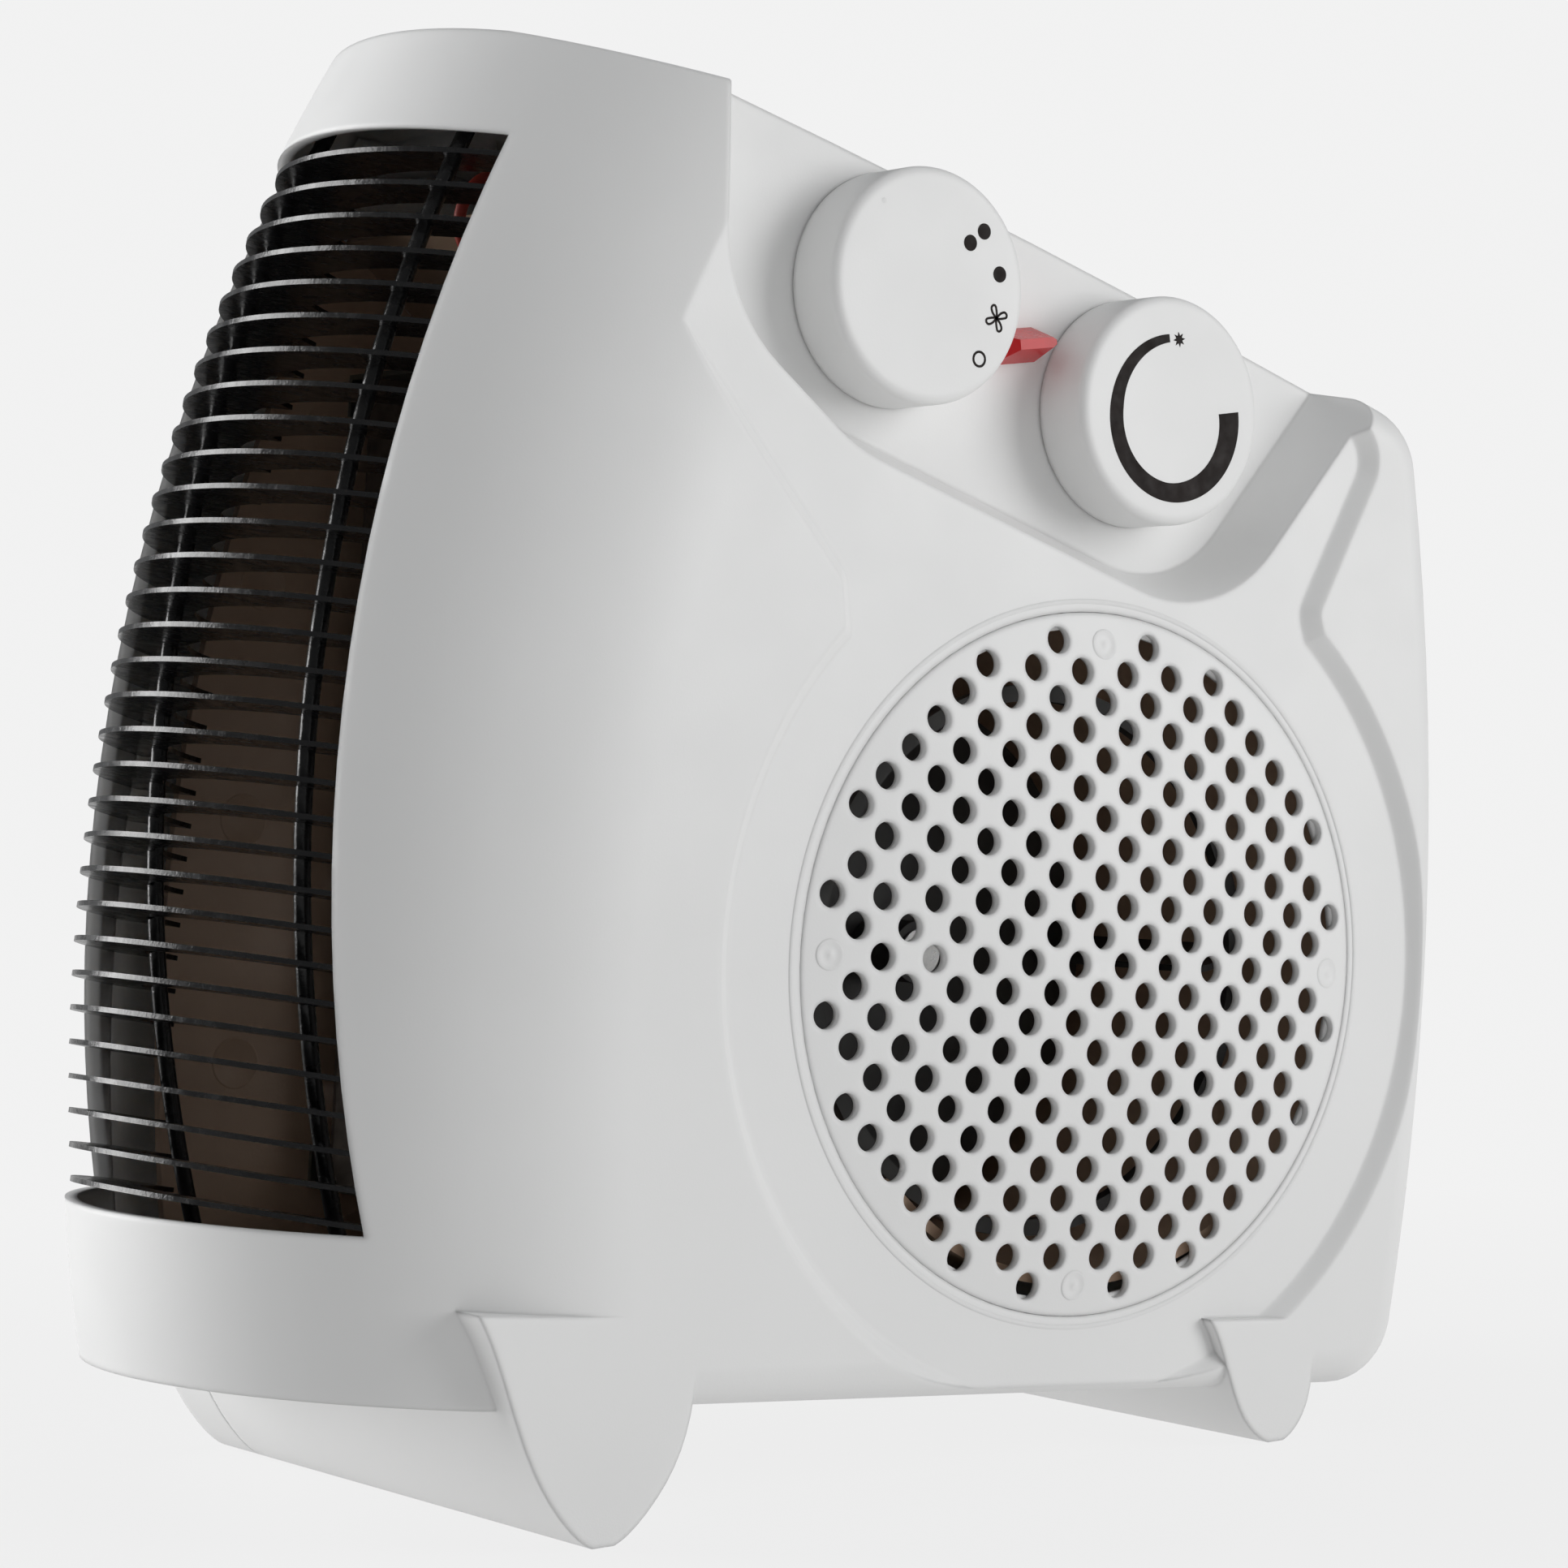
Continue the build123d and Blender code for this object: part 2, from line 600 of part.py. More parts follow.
def make_pilot_lens():
    """Faceted red lens between the knobs, standing in its window."""
    length = LENS_LENGTH
    width = LENS_WIDTH
    with BuildPart() as lens:
        place = Location((LENS_AT[0], LENS_AT[1], 0), (0, 0, lens_turn()))
        with BuildSketch(side(RECESS_X)):
            with Locations(place):
                Polygon(
                    (-length / 2, -width / 2), (length / 2 - 2.4, -width / 2), (length / 2, 1.6 - width / 2),
                    (length / 2, width / 2 - 1.6), (length / 2 - 2.4, width / 2), (-length / 2, width / 2),
                    align=None,
                )
        extrude(amount=LENS_HEIGHT, taper=18)
        with BuildSketch(side(RECESS_X - WALL - 1.5)):
            with Locations(place):
                flange = LENS_FLANGE + HOLE_CLEARANCE
                Rectangle(length - 2 * flange, width - 2 * flange)
        extrude(amount=WALL + 1.5)
        with BuildSketch(side(RECESS_X - WALL - 1.5)):
            with Locations(place):
                Rectangle(length - 6.0, width - 3.4)
        extrude(amount=WALL + 2.0, mode=Mode.SUBTRACT)
    return lens


def make_neon():
    """Neon lamp behind the lens: a small glass tube lying in the lens's pocket."""
    with BuildPart() as neon:
        axis_x = RECESS_X - WALL - 2.6
        turn = radians(lens_turn())
        run = (LENS_LENGTH - 4.0) / 2
        start = side(axis_x).from_local_coords((LENS_AT[0] - run * cos(turn), LENS_AT[1] - run * sin(turn), 0))
        along = BODY.y_dir * cos(turn) + BODY.z_dir * sin(turn)
        with BuildSketch(Plane(origin=start, z_dir=along)):
            Circle(1.1)
        extrude(amount=2 * run)
    return neon


def duct_path(first):
    """Middle line of the blower scroll: lower duct wall, tongue, spiral, then the rising upper wall."""
    diagonal = SCROLL_TONGUE / sqrt(2)
    with BuildLine() as path:
        if first:
            Line((DUCT_FRONT_Y, DUCT_FRONT_LOW), (-diagonal, -diagonal))
        else:
            foot = JernArc((-diagonal, -diagonal), (1, -1), SCROLL_TONGUE + SCROLL_STEP / 2, 45)
            rear = JernArc(foot @ 1, foot % 1, SCROLL_TONGUE + 1.5 * SCROLL_STEP, 90)
            top = JernArc(rear @ 1, rear % 1, SCROLL_TONGUE + 2.2 * SCROLL_STEP, 90)
            flat = Line(top @ 1, top @ 1 + (-22.0, 0))
            rise = JernArc(flat @ 1, flat % 1, 30.0, -38)
            run = (rise @ 1).X - DUCT_FRONT_Y
            Line(rise @ 1, rise @ 1 + (-run, run * tan(radians(38))))
    return path.line


def make_duct():
    """Scroll wall round the impeller with the upper and lower walls of the air duct."""
    with BuildPart() as duct:
        with BuildSketch(side(MOTOR_PLATE_X)):
            trace(duct_path(True), line_width=DUCT_WALL)
            trace(duct_path(False), line_width=DUCT_WALL)
        extrude(amount=DUCT_NEAR_X - MOTOR_PLATE_X)
        add(make_envelope(WALL + FREE_GAP, DUCT_NEAR_X), mode=Mode.INTERSECT)
        add(make_recess(WALL + FREE_GAP), mode=Mode.SUBTRACT)
    return duct


def flange_screw_places():
    """Screws of the heating element's flanges, as y and z."""
    mid_y = HEATER_FRONT_Y + HEATER_DEPTH / 2
    return [(mid_y, HEATER_TOP - FLANGE / 2), (mid_y, HEATER_BOTTOM + FLANGE / 2)]


def make_motor_plate():
    """Far wall of the duct, which carries the motor on two posts."""
    low, middle, high = [(bow_y(z) + PLATE_SETBACK, z) for z in (DUCT_FRONT_LOW - 1.0, 40.0, 130.0)]
    with BuildPart() as plate:
        with BuildSketch(side(MOTOR_PLATE_X - PLATE_THICK)):
            with BuildLine():
                Polyline(low, (30.0, low[1]), (74.0, -30.0), (74.0, 40.0), (40.0, 84.0), (-50.0, 88.0), high)
                ThreePointArc(high, middle, low)
            make_face()
            Circle(10.0, mode=Mode.SUBTRACT)
            with Locations(*flange_screw_places()):
                Circle(SCREW_RADIUS + HOLE_CLEARANCE, mode=Mode.SUBTRACT)
        extrude(amount=PLATE_THICK)
        add(make_envelope(WALL + FREE_GAP, DUCT_NEAR_X), mode=Mode.INTERSECT)
        with BuildSketch(side(MOTOR_PLATE_X)):
            with Locations(*MOTOR_POSTS):
                Circle(4.0)
        extrude(amount=BRACKET_BACK_X - MOTOR_PLATE_X)
        with BuildSketch(side(MOTOR_PLATE_X - PLATE_THICK)):
            with Locations(*MOTOR_POSTS):
                Circle(SCREW_RADIUS)
        extrude(amount=BRACKET_BACK_X - MOTOR_PLATE_X + PLATE_THICK, mode=Mode.SUBTRACT)
        with BuildSketch(side(-HALF_WIDTH + WALL)):
            with Locations(*PLATE_STANDS):
                Circle(4.0)
        extrude(amount=HALF_WIDTH - WALL - PLATE_THICK + MOTOR_PLATE_X)
    return plate


def make_stator():
    """Laminated core of the shaded-pole motor, with its rotor bore and coil window."""
    with BuildPart() as core:
        with BuildSketch(side(STACK_BACK_X)):
            with Locations((0, -12.0)):
                RectangleRounded(CORE_WIDTH, CORE_HEIGHT, 3.0)
            Circle(ROTOR_RADIUS + AIR_GAP, mode=Mode.SUBTRACT)
            with Locations((0, COIL_Z + 15.5)):
                Rectangle(COIL_WINDOW, 13.0, mode=Mode.SUBTRACT)
            with Locations((0, COIL_Z - CORE_LEG)):
                Rectangle(COIL_WINDOW, CORE_LEG, mode=Mode.SUBTRACT)
            with Locations(*MOTOR_POSTS):
                Circle(SCREW_RADIUS + HOLE_CLEARANCE, mode=Mode.SUBTRACT)
        extrude(amount=STACK_DEPTH)
    return core


def make_coil_pair():
    """Bobbin on the core's lower leg, and the winding round it."""
    mid_x = STACK_BACK_X + STACK_DEPTH / 2
    leg_low = COIL_Z - CORE_LEG / 2
    leg_high = COIL_Z + 9.0
    leg_mid = (leg_low + leg_high) / 2
    length = COIL_WINDOW - 0.6
    leg = (STACK_DEPTH + 0.4, leg_high - leg_low + 0.4)
    start = facing(length / 2)
    with BuildPart() as bobbin:
        with BuildSketch(start):
            with Locations((mid_x, leg_mid)):
                Rectangle(leg[0] + 2.0, leg[1] + 2.0)
                Rectangle(*leg, mode=Mode.SUBTRACT)
        extrude(amount=length)
        for y in (length / 2, -length / 2 + 1.0):
            with BuildSketch(facing(y)):
                with Locations((mid_x, leg_mid)):
                    Rectangle(leg[0] + 10.0, leg[1] + 8.0)
                    Rectangle(*leg, mode=Mode.SUBTRACT)
            extrude(amount=1.0)
    with BuildPart() as coil:
        with BuildSketch(facing(length / 2 - 1.0)):
            with Locations((mid_x, leg_mid)):
                RectangleRounded(leg[0] + 9.0, leg[1] + 7.0, 2.0)
                Rectangle(leg[0] + 2.0, leg[1] + 2.0, mode=Mode.SUBTRACT)
        extrude(amount=length - 2.0)
    return bobbin, coil


def make_shading_rings():
    """Two copper shading rings, lying on the faces of the core beside the rotor bore."""
    with BuildPart() as rings:
        for x in (STACK_BACK_X - 1.5, STACK_BACK_X + STACK_DEPTH):
            with BuildSketch(side(x)):
                with Locations((-17.5, RING_Z), (17.5, RING_Z)):
                    Rectangle(5.0, 8.0)
                    Rectangle(2.0, 5.0, mode=Mode.SUBTRACT)
            extrude(amount=1.5)
    return rings


def make_rotor():
    """Squirrel-cage rotor on the shaft."""
    with BuildPart() as rotor:
        extrude(disc_sketch(STACK_BACK_X, ROTOR_RADIUS), amount=STACK_DEPTH)
        extrude(disc_sketch(STACK_BACK_X - 1.5, ROTOR_RADIUS - 2.5), amount=STACK_DEPTH + 3.0)
        extrude(disc_sketch(STACK_BACK_X - 5.0, SHAFT_RADIUS), amount=STACK_DEPTH + 9.0, mode=Mode.SUBTRACT)
    return rotor


def make_shaft():
    """Steel motor shaft, from the rear bearing out into the impeller's hub."""
    with BuildPart() as shaft:
        extrude(disc_sketch(BRACKET_BACK_X - 4.0, SHAFT_RADIUS), amount=HUB_FRONT_X + 6.0 - BRACKET_BACK_X)
    return shaft


def make_bracket(x, hub_out):
    """Bearing bracket: a bridge across the core held by the two long screws, with the bearing's cup."""
    with BuildPart() as bracket:
        with BuildSketch(side(x)):
            SlotOverall(2 * MOTOR_SCREW_Y + 10.0, 10.0)
            Circle(BEARING_RADIUS + 2.0)
            Circle(BEARING_RADIUS, mode=Mode.SUBTRACT)
            with Locations((-MOTOR_SCREW_Y, 0), (MOTOR_SCREW_Y, 0)):
                Circle(SCREW_RADIUS + HOLE_CLEARANCE, mode=Mode.SUBTRACT)
        extrude(amount=BRACKET_THICK)
        ends = x + BRACKET_THICK if hub_out > 0 else x
        legs = (STACK_BACK_X - ends) if hub_out > 0 else (ends - STACK_BACK_X - STACK_DEPTH)
        foot_x = ends if hub_out > 0 else STACK_BACK_X + STACK_DEPTH
        with BuildSketch(side(foot_x)):
            with Locations((-MOTOR_SCREW_Y, 0), (MOTOR_SCREW_Y, 0)):
                Circle(4.0)
                Circle(SCREW_RADIUS + HOLE_CLEARANCE, mode=Mode.SUBTRACT)
        extrude(amount=legs)
    return bracket


def make_bushes():
    """Sintered bearing bushes in the two brackets."""
    with BuildPart() as bushes:
        for x in (BRACKET_BACK_X, BRACKET_FRONT_X):
            with BuildSketch(side(x)):
                Circle(BEARING_RADIUS)
                Circle(SHAFT_RADIUS + SHAFT_CLEARANCE, mode=Mode.SUBTRACT)
            extrude(amount=BRACKET_THICK)
    return bushes


def make_motor_screws():
    """Two long screws through brackets and core, and their heads in front."""
    front_x = BRACKET_FRONT_X + BRACKET_THICK
    with BuildPart() as screws:
        for y in (-MOTOR_SCREW_Y, MOTOR_SCREW_Y):
            extrude(disc_sketch(BRACKET_BACK_X, SCREW_RADIUS, (y, 0)), amount=front_x - BRACKET_BACK_X)
            extrude(disc_sketch(front_x, 2.6, (y, 0)), amount=1.6)
            extrude(disc_sketch(front_x + 0.9, 1.0, (y, 0)), amount=1.0, mode=Mode.SUBTRACT)
            extrude(disc_sketch(BRACKET_BACK_X - 6.0, SCREW_RADIUS, (y, 0)), amount=6.0)
    return screws


def make_impeller():
    """Radial impeller: back disc with hub, forward-curved blades and a front ring."""
    inner = IMPELLER_RADIUS - BLADE_DEPTH
    with BuildPart() as impeller:
        extrude(disc_sketch(IMPELLER_BACK_X, IMPELLER_RADIUS), amount=1.5)
        extrude(disc_sketch(IMPELLER_BACK_X, HUB_RADIUS), amount=HUB_FRONT_X - IMPELLER_BACK_X)
        with BuildSketch(side(IMPELLER_BACK_X)):
            with PolarLocations(0, BLADE_COUNT):
                with BuildLine():
                    ThreePointArc((inner, 0), (inner + 0.55 * BLADE_DEPTH, 1.2), (IMPELLER_RADIUS - 0.2, 4.4))
                    Line((IMPELLER_RADIUS - 0.2, 4.4), (IMPELLER_RADIUS - 0.2, 4.4 - BLADE_THICK))
                    ThreePointArc(
                        (IMPELLER_RADIUS - 0.2, 4.4 - BLADE_THICK),
                        (inner + 0.55 * BLADE_DEPTH, 1.2 - BLADE_THICK),
                        (inner, -BLADE_THICK),
                    )
                    Line((inner, -BLADE_THICK), (inner, 0))
                make_face()
        extrude(amount=IMPELLER_FRONT_X - IMPELLER_BACK_X)
        with BuildSketch(side(IMPELLER_FRONT_X - 1.5)):
            Circle(IMPELLER_RADIUS)
            Circle(IMPELLER_RADIUS - 3.0, mode=Mode.SUBTRACT)
        extrude(amount=2.5)
        extrude(disc_sketch(IMPELLER_BACK_X - 1.0, SHAFT_RADIUS), amount=60.0, mode=Mode.SUBTRACT)
    return impeller


def make_hub_clip():
    """Spring clip that holds the impeller's hub on the shaft."""
    with BuildPart() as clip:
        with BuildSketch(side(HUB_FRONT_X)):
            Circle(HUB_RADIUS - 1.5)
            Circle(SHAFT_RADIUS, mode=Mode.SUBTRACT)
        extrude(amount=0.8)
    return clip


def make_side_cards():
    """Two upright mica cards at the sides of the heating element."""
    with BuildPart() as cards:
        for x in (-HEATER_HALF, HEATER_HALF - MICA):
            with BuildSketch(side(x)):
                with Locations((HEATER_FRONT_Y + HEATER_DEPTH / 2, (HEATER_TOP + HEATER_BOTTOM) / 2)):
                    Rectangle(HEATER_DEPTH, HEATER_TOP - HEATER_BOTTOM - 2 * MICA)
                    with GridLocations(0, CROSS_PITCH / 2, 1, 7):
                        SlotOverall(HEATER_DEPTH / 2, 2.0, mode=Mode.SUBTRACT)
            extrude(amount=MICA)
    return cards


def make_cross_cards():
    """Mica cards across the element, one behind every bend of the wires, held by the side cards."""
    mid_z = (HEATER_TOP + HEATER_BOTTOM) / 2
    mid_y = HEATER_FRONT_Y + HEATER_DEPTH / 2
    with BuildPart() as cards:
        for z in (mid_z - CROSS_PITCH, mid_z, mid_z + CROSS_PITCH):
            with BuildSketch(level(z)):
                with Locations((0, mid_y)):
                    Rectangle(2 * (HEATER_HALF - MICA), WIRE_LAYER_GAP - 2 * WIRE_RADIUS - 0.6)
            extrude(amount=MICA)
    return cards


def make_end_plates():
    """Steel plates above and below the element, with the flanges that screw to the duct's far wall."""
    plate_end = HEATER_HALF + PLATE_OVERHANG
    with BuildPart() as plates:
        for z in (HEATER_TOP - MICA, HEATER_BOTTOM):
            with BuildSketch(level(z)):
                with Locations(((MOTOR_PLATE_X + plate_end) / 2, HEATER_FRONT_Y + HEATER_DEPTH / 2)):
                    Rectangle(plate_end - MOTOR_PLATE_X, HEATER_DEPTH)
            extrude(amount=MICA)
        for z in (HEATER_TOP - FLANGE, HEATER_BOTTOM):
            with BuildSketch(side(MOTOR_PLATE_X)):
                with Locations((HEATER_FRONT_Y + HEATER_DEPTH / 2, z + FLANGE / 2)):
                    Rectangle(HEATER_DEPTH, FLANGE)
                    Circle(SCREW_RADIUS, mode=Mode.SUBTRACT)
            extrude(amount=MICA)
    return plates


def make_heater_screws():
    """Screws through the duct's far wall into the flanges of the end plates."""
    with BuildPart() as screws:
        start_x = MOTOR_PLATE_X - PLATE_THICK
        for place in flange_screw_places():
            extrude(disc_sketch(start_x, SCREW_RADIUS, place), amount=PLATE_THICK + MICA + 3.0)
            extrude(disc_sketch(start_x - 1.8, SCREW_HEAD, place), amount=1.8)
    return screws


def make_wire(y):
    """One resistance wire: a serpentine of upright runs in one layer of the element."""
    low = HEATER_BOTTOM + MICA + TERMINAL_HEIGHT
    bend = WIRE_PITCH / 2
    bottom = low + 3.0 + bend
    top = HEATER_TOP - MICA - 3.0 - bend
    x = -WIRE_PITCH * (WIRE_RUNS - 1) / 2
    plane = facing(y)
    with BuildPart() as wire:
        with BuildLine(plane) as path:
            Line((x, low), (x, top))
            for run in range(1, WIRE_RUNS):
                end = top if run % 2 else bottom
                other = bottom if run % 2 else top
                peak = end + bend if run % 2 else end - bend
                ThreePointArc((x, end), (x + bend, peak), (x + WIRE_PITCH, end))
                x += WIRE_PITCH
                last = low if run == WIRE_RUNS - 1 else other
                Line((x, end), (x, last))
        with BuildSketch(Plane(origin=path.line @ 0, z_dir=path.line % 0)):
            Circle(WIRE_RADIUS)
        sweep()
    return wire


def make_terminals():
    """Brass terminals on the lower plate, one under each end of the two wires."""
    with BuildPart() as terminals:
        with BuildSketch(level(HEATER_BOTTOM + MICA)):
            for x in (-1, 1):
                for y in (-1, 1):
                    run_x = x * WIRE_PITCH * (WIRE_RUNS - 1) / 2
                    with Locations((run_x, HEATER_FRONT_Y + HEATER_DEPTH / 2 + y * WIRE_LAYER_GAP / 2)):
                        Rectangle(4.0, 5.0)
        extrude(amount=TERMINAL_HEIGHT)
    return terminals


def make_cutout():
    """Resetting overheat cut-out: a disc thermostat on the upper plate of the element."""
    place = (CUTOUT_X, HEATER_FRONT_Y + HEATER_DEPTH / 2)
    with BuildPart() as cutout:
        with BuildSketch(level(HEATER_TOP)):
            with Locations(place):
                Circle(CUTOUT_RADIUS)
        extrude(amount=2.0)
        with BuildSketch(level(HEATER_TOP + 2.0)):
            with Locations(place):
                Circle(CUTOUT_RADIUS - 1.0)
        extrude(amount=4.0)
    return cutout


def make_fuse():
    """One-shot thermal fuse lying on the upper plate."""
    with BuildPart() as fuse:
        centre = (HEATER_FRONT_Y + 6.0, HEATER_TOP + FUSE_RADIUS)
        extrude(disc_sketch(-30.0, FUSE_RADIUS, centre), amount=12.0)
        extrude(disc_sketch(-36.0, 0.6, centre), amount=24.0)
    return fuse


def make_gland():
    """Cord bushing in the rear wall of the far cover; its bore is free, because no cord is fitted."""
    wall_y = rear_y(GLAND_AT[1])
    with BuildPart() as gland:
        with BuildSketch(facing(wall_y + GLAND_LIP)):
            with Locations(GLAND_AT):
                Circle(GLAND_RADIUS + 1.6)
        extrude(amount=GLAND_LIP + 0.6)
        with BuildSketch(facing(wall_y)):
            with Locations(GLAND_AT):
                Circle(GLAND_RADIUS)
        extrude(amount=WALL + 6.0)
        with BuildSketch(facing(wall_y + GLAND_LIP + 1.0)):
            with Locations(GLAND_AT):
                Circle(GLAND_BORE)
        extrude(amount=20.0, mode=Mode.SUBTRACT)
    return gland


def gland_space():
    """Space that the gland and its lip take out of the rear wall."""
    wall_y = rear_y(GLAND_AT[1])
    with BuildPart() as space:
        with BuildSketch(facing(wall_y + 6.0)):
            with Locations(GLAND_AT):
                Circle(GLAND_RADIUS + 1.6)
        extrude(amount=6.6)
        with BuildSketch(facing(wall_y)):
            with Locations(GLAND_AT):
                Circle(GLAND_RADIUS)
        extrude(amount=8.0)
    return space.part


def clamp_places():
    """Places of the cord clamp's two screws, as y and z."""
    return [(CLAMP_Y, GLAND_AT[1] - CLAMP_HALF), (CLAMP_Y, GLAND_AT[1] + CLAMP_HALF)]


def make_clamp():
    """Bar that grips the cord's sheath behind the gland."""
    with BuildPart() as clamp:
        with BuildSketch(side(GLAND_AT[0] + 1.0)):
            with Locations((CLAMP_Y, GLAND_AT[1])):
                SlotOverall(2 * CLAMP_HALF + 7.0, 7.0, rotation=90)
            with Locations(*clamp_places()):
                Circle(SCREW_RADIUS + HOLE_CLEARANCE, mode=Mode.SUBTRACT)
        extrude(amount=3.0)
    return clamp


def make_clamp_screws():
    """Two screws of the cord clamp."""
    with BuildPart() as screws:
        for place in clamp_places():
            extrude(disc_sketch(GLAND_AT[0] - 3.0, SCREW_RADIUS - THREAD_BITE, place), amount=7.0)
            extrude(disc_sketch(GLAND_AT[0] + 4.0, SCREW_HEAD, place), amount=1.6)
    return screws


def make_terminal_block():
    """Connector strip on the far cover that joins the supply to the leads."""
    with BuildPart() as block:
        with BuildSketch(side(-HALF_WIDTH + WALL)):
            with Locations(BLOCK_AT):
                Rectangle(12.0, 26.0)
        extrude(amount=BLOCK_DEPTH)
        with BuildSketch(side(-HALF_WIDTH + WALL + BLOCK_DEPTH)):
            with Locations(BLOCK_AT):
                with GridLocations(0, 8.0, 1, 3):
                    Circle(2.2)
        extrude(amount=-5.0, mode=Mode.SUBTRACT)
    return block


def make_case_screws():
    """Self-tapping screws that hold the far cover to the housing's bosses."""
    head_x = -HALF_WIDTH + COUNTERBORE
    with BuildPart() as screws:
        for place in BOSS_PLACES:
            extrude(disc_sketch(head_x, SCREW_RADIUS - THREAD_BITE, place), amount=SEAM_X + 12.0 - head_x)
            extrude(disc_sketch(head_x - 1.8, SCREW_HEAD, place), amount=1.8)
    return screws


def make_lead(points):
    """Insulated lead along a route of straight runs joined by arcs as large as the runs allow."""
    corners = [Vector(*BODY.from_local_coords(point)) for point in points]
    radii = []
    for before, corner, after in zip(corners, corners[1:], corners[2:]):
        turn = (corner - before).get_angle(after - corner)
        shorter = min((corner - before).length, (after - corner).length)
        radii.append(0.45 * shorter / tan(radians(turn / 2)))
    print("lead radii", [round(radius, 1) for radius in radii])
    with BuildPart() as lead:
        with BuildLine() as path:
            FilletPolyline(*corners, radius=radii)
        with BuildSketch(Plane(origin=path.line @ 0, z_dir=path.line % 0)):
            Circle(LEAD_RADIUS)
        sweep()
    length = sum(edge.length for edge in path.edges())
    print("lead volume share", round(lead.part.volume / (pi * LEAD_RADIUS**2 * length), 4))
    return lead


housing = make_housing()
cover = make_cover()
with BuildPart() as back_cover:
    add(cover.part)
    add(gland_space(), mode=Mode.SUBTRACT)
    for spot in clamp_places():
        extrude(disc_sketch(-HALF_WIDTH + 1.0, 3.0, spot), amount=GLAND_AT[0] + 1.0 + HALF_WIDTH - 1.0)
        extrude(disc_sketch(GLAND_AT[0] - 3.5, SCREW_RADIUS - THREAD_BITE, spot), amount=6.0, mode=Mode.SUBTRACT)
save(housing, "housing")
save(back_cover, "back_cover")
save(make_case_screws(), "case_screws")
save(make_grille(), "inlet_grille")

guard_rods = make_guard_rods()
save(guard_rods, "guard_rods")
save(make_louvers(housing, guard_rods), "guard_louvers")

switch_back_x = RECESS_X - WALL - SWITCH_DEPTH
thermostat_back_x = RECESS_X - WALL - THERMOSTAT_DEPTH
save(make_knob(SWITCH_AT), "switch_knob")
save(make_spindle(SWITCH_AT, switch_back_x - 1.0), "switch_spindle")
save(make_bushing_body(SWITCH_AT, 28.0, 22.0, SWITCH_DEPTH, 0.0), "rotary_switch")
save(make_knob(THERMOSTAT_AT), "thermostat_knob")
save(make_spindle(THERMOSTAT_AT, thermostat_back_x - 1.0), "thermostat_spindle")
save(make_bushing_body(THERMOSTAT_AT, 34.0, 14.0, THERMOSTAT_DEPTH, 0.0), "thermostat_body")
save(make_bimetal(), "thermostat_bimetal")
save(make_control_nuts(), "control_nuts")
save(make_pilot_lens(), "pilot_lens")
save(make_neon(), "neon_lamp")

save(make_duct(), "air_duct")
save(make_motor_plate(), "motor_plate")
save(make_stator(), "stator_core")
coil_bobbin, stator_coil = make_coil_pair()
save(coil_bobbin, "coil_bobbin")
save(stator_coil, "stator_coil")
save(make_shading_rings(), "shading_rings")
save(make_bracket(BRACKET_BACK_X, 1), "rear_bearing_bracket")
save(make_bracket(BRACKET_FRONT_X, -1), "front_bearing_bracket")
save(make_bushes(), "bearing_bushes")
save(make_motor_screws(), "motor_screws")
save(make_rotor(), "rotor")
save(make_shaft(), "motor_shaft")
save(make_impeller(), "impeller")
save(make_hub_clip(), "hub_clip")

layer_y = HEATER_FRONT_Y + HEATER_DEPTH / 2
save(make_side_cards(), "mica_side_cards")
save(make_cross_cards(), "mica_cross_cards")
save(make_end_plates(), "heater_end_plates")
save(make_heater_screws(), "heater_screws")
save(make_wire(layer_y - WIRE_LAYER_GAP / 2), "heating_wire_front")
save(make_wire(layer_y + WIRE_LAYER_GAP / 2), "heating_wire_rear")
save(make_terminals(), "heater_terminals")
save(make_cutout(), "thermal_cutout")
save(make_fuse(), "thermal_fuse")

save(make_gland(), "cord_gland")
save(make_clamp(), "cord_clamp")
save(make_clamp_screws(), "clamp_screws")
save(make_terminal_block(), "terminal_block")
save(make_lead(SUPPLY_LEAD), "supply_lead")
save(make_lead(HEATER_LEAD), "heater_lead")
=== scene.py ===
# %% [markdown]
# # Fan heater
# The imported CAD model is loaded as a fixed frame, and everything that follows only dresses it.
# Its solids keep their places and sizes.
# Each step below adds one thing: the camera, the studio, the materials, and the small pieces that CAD left out.

# %% Load the frame
import json
import math

import bmesh
import bpy
from mathutils import Matrix, Vector


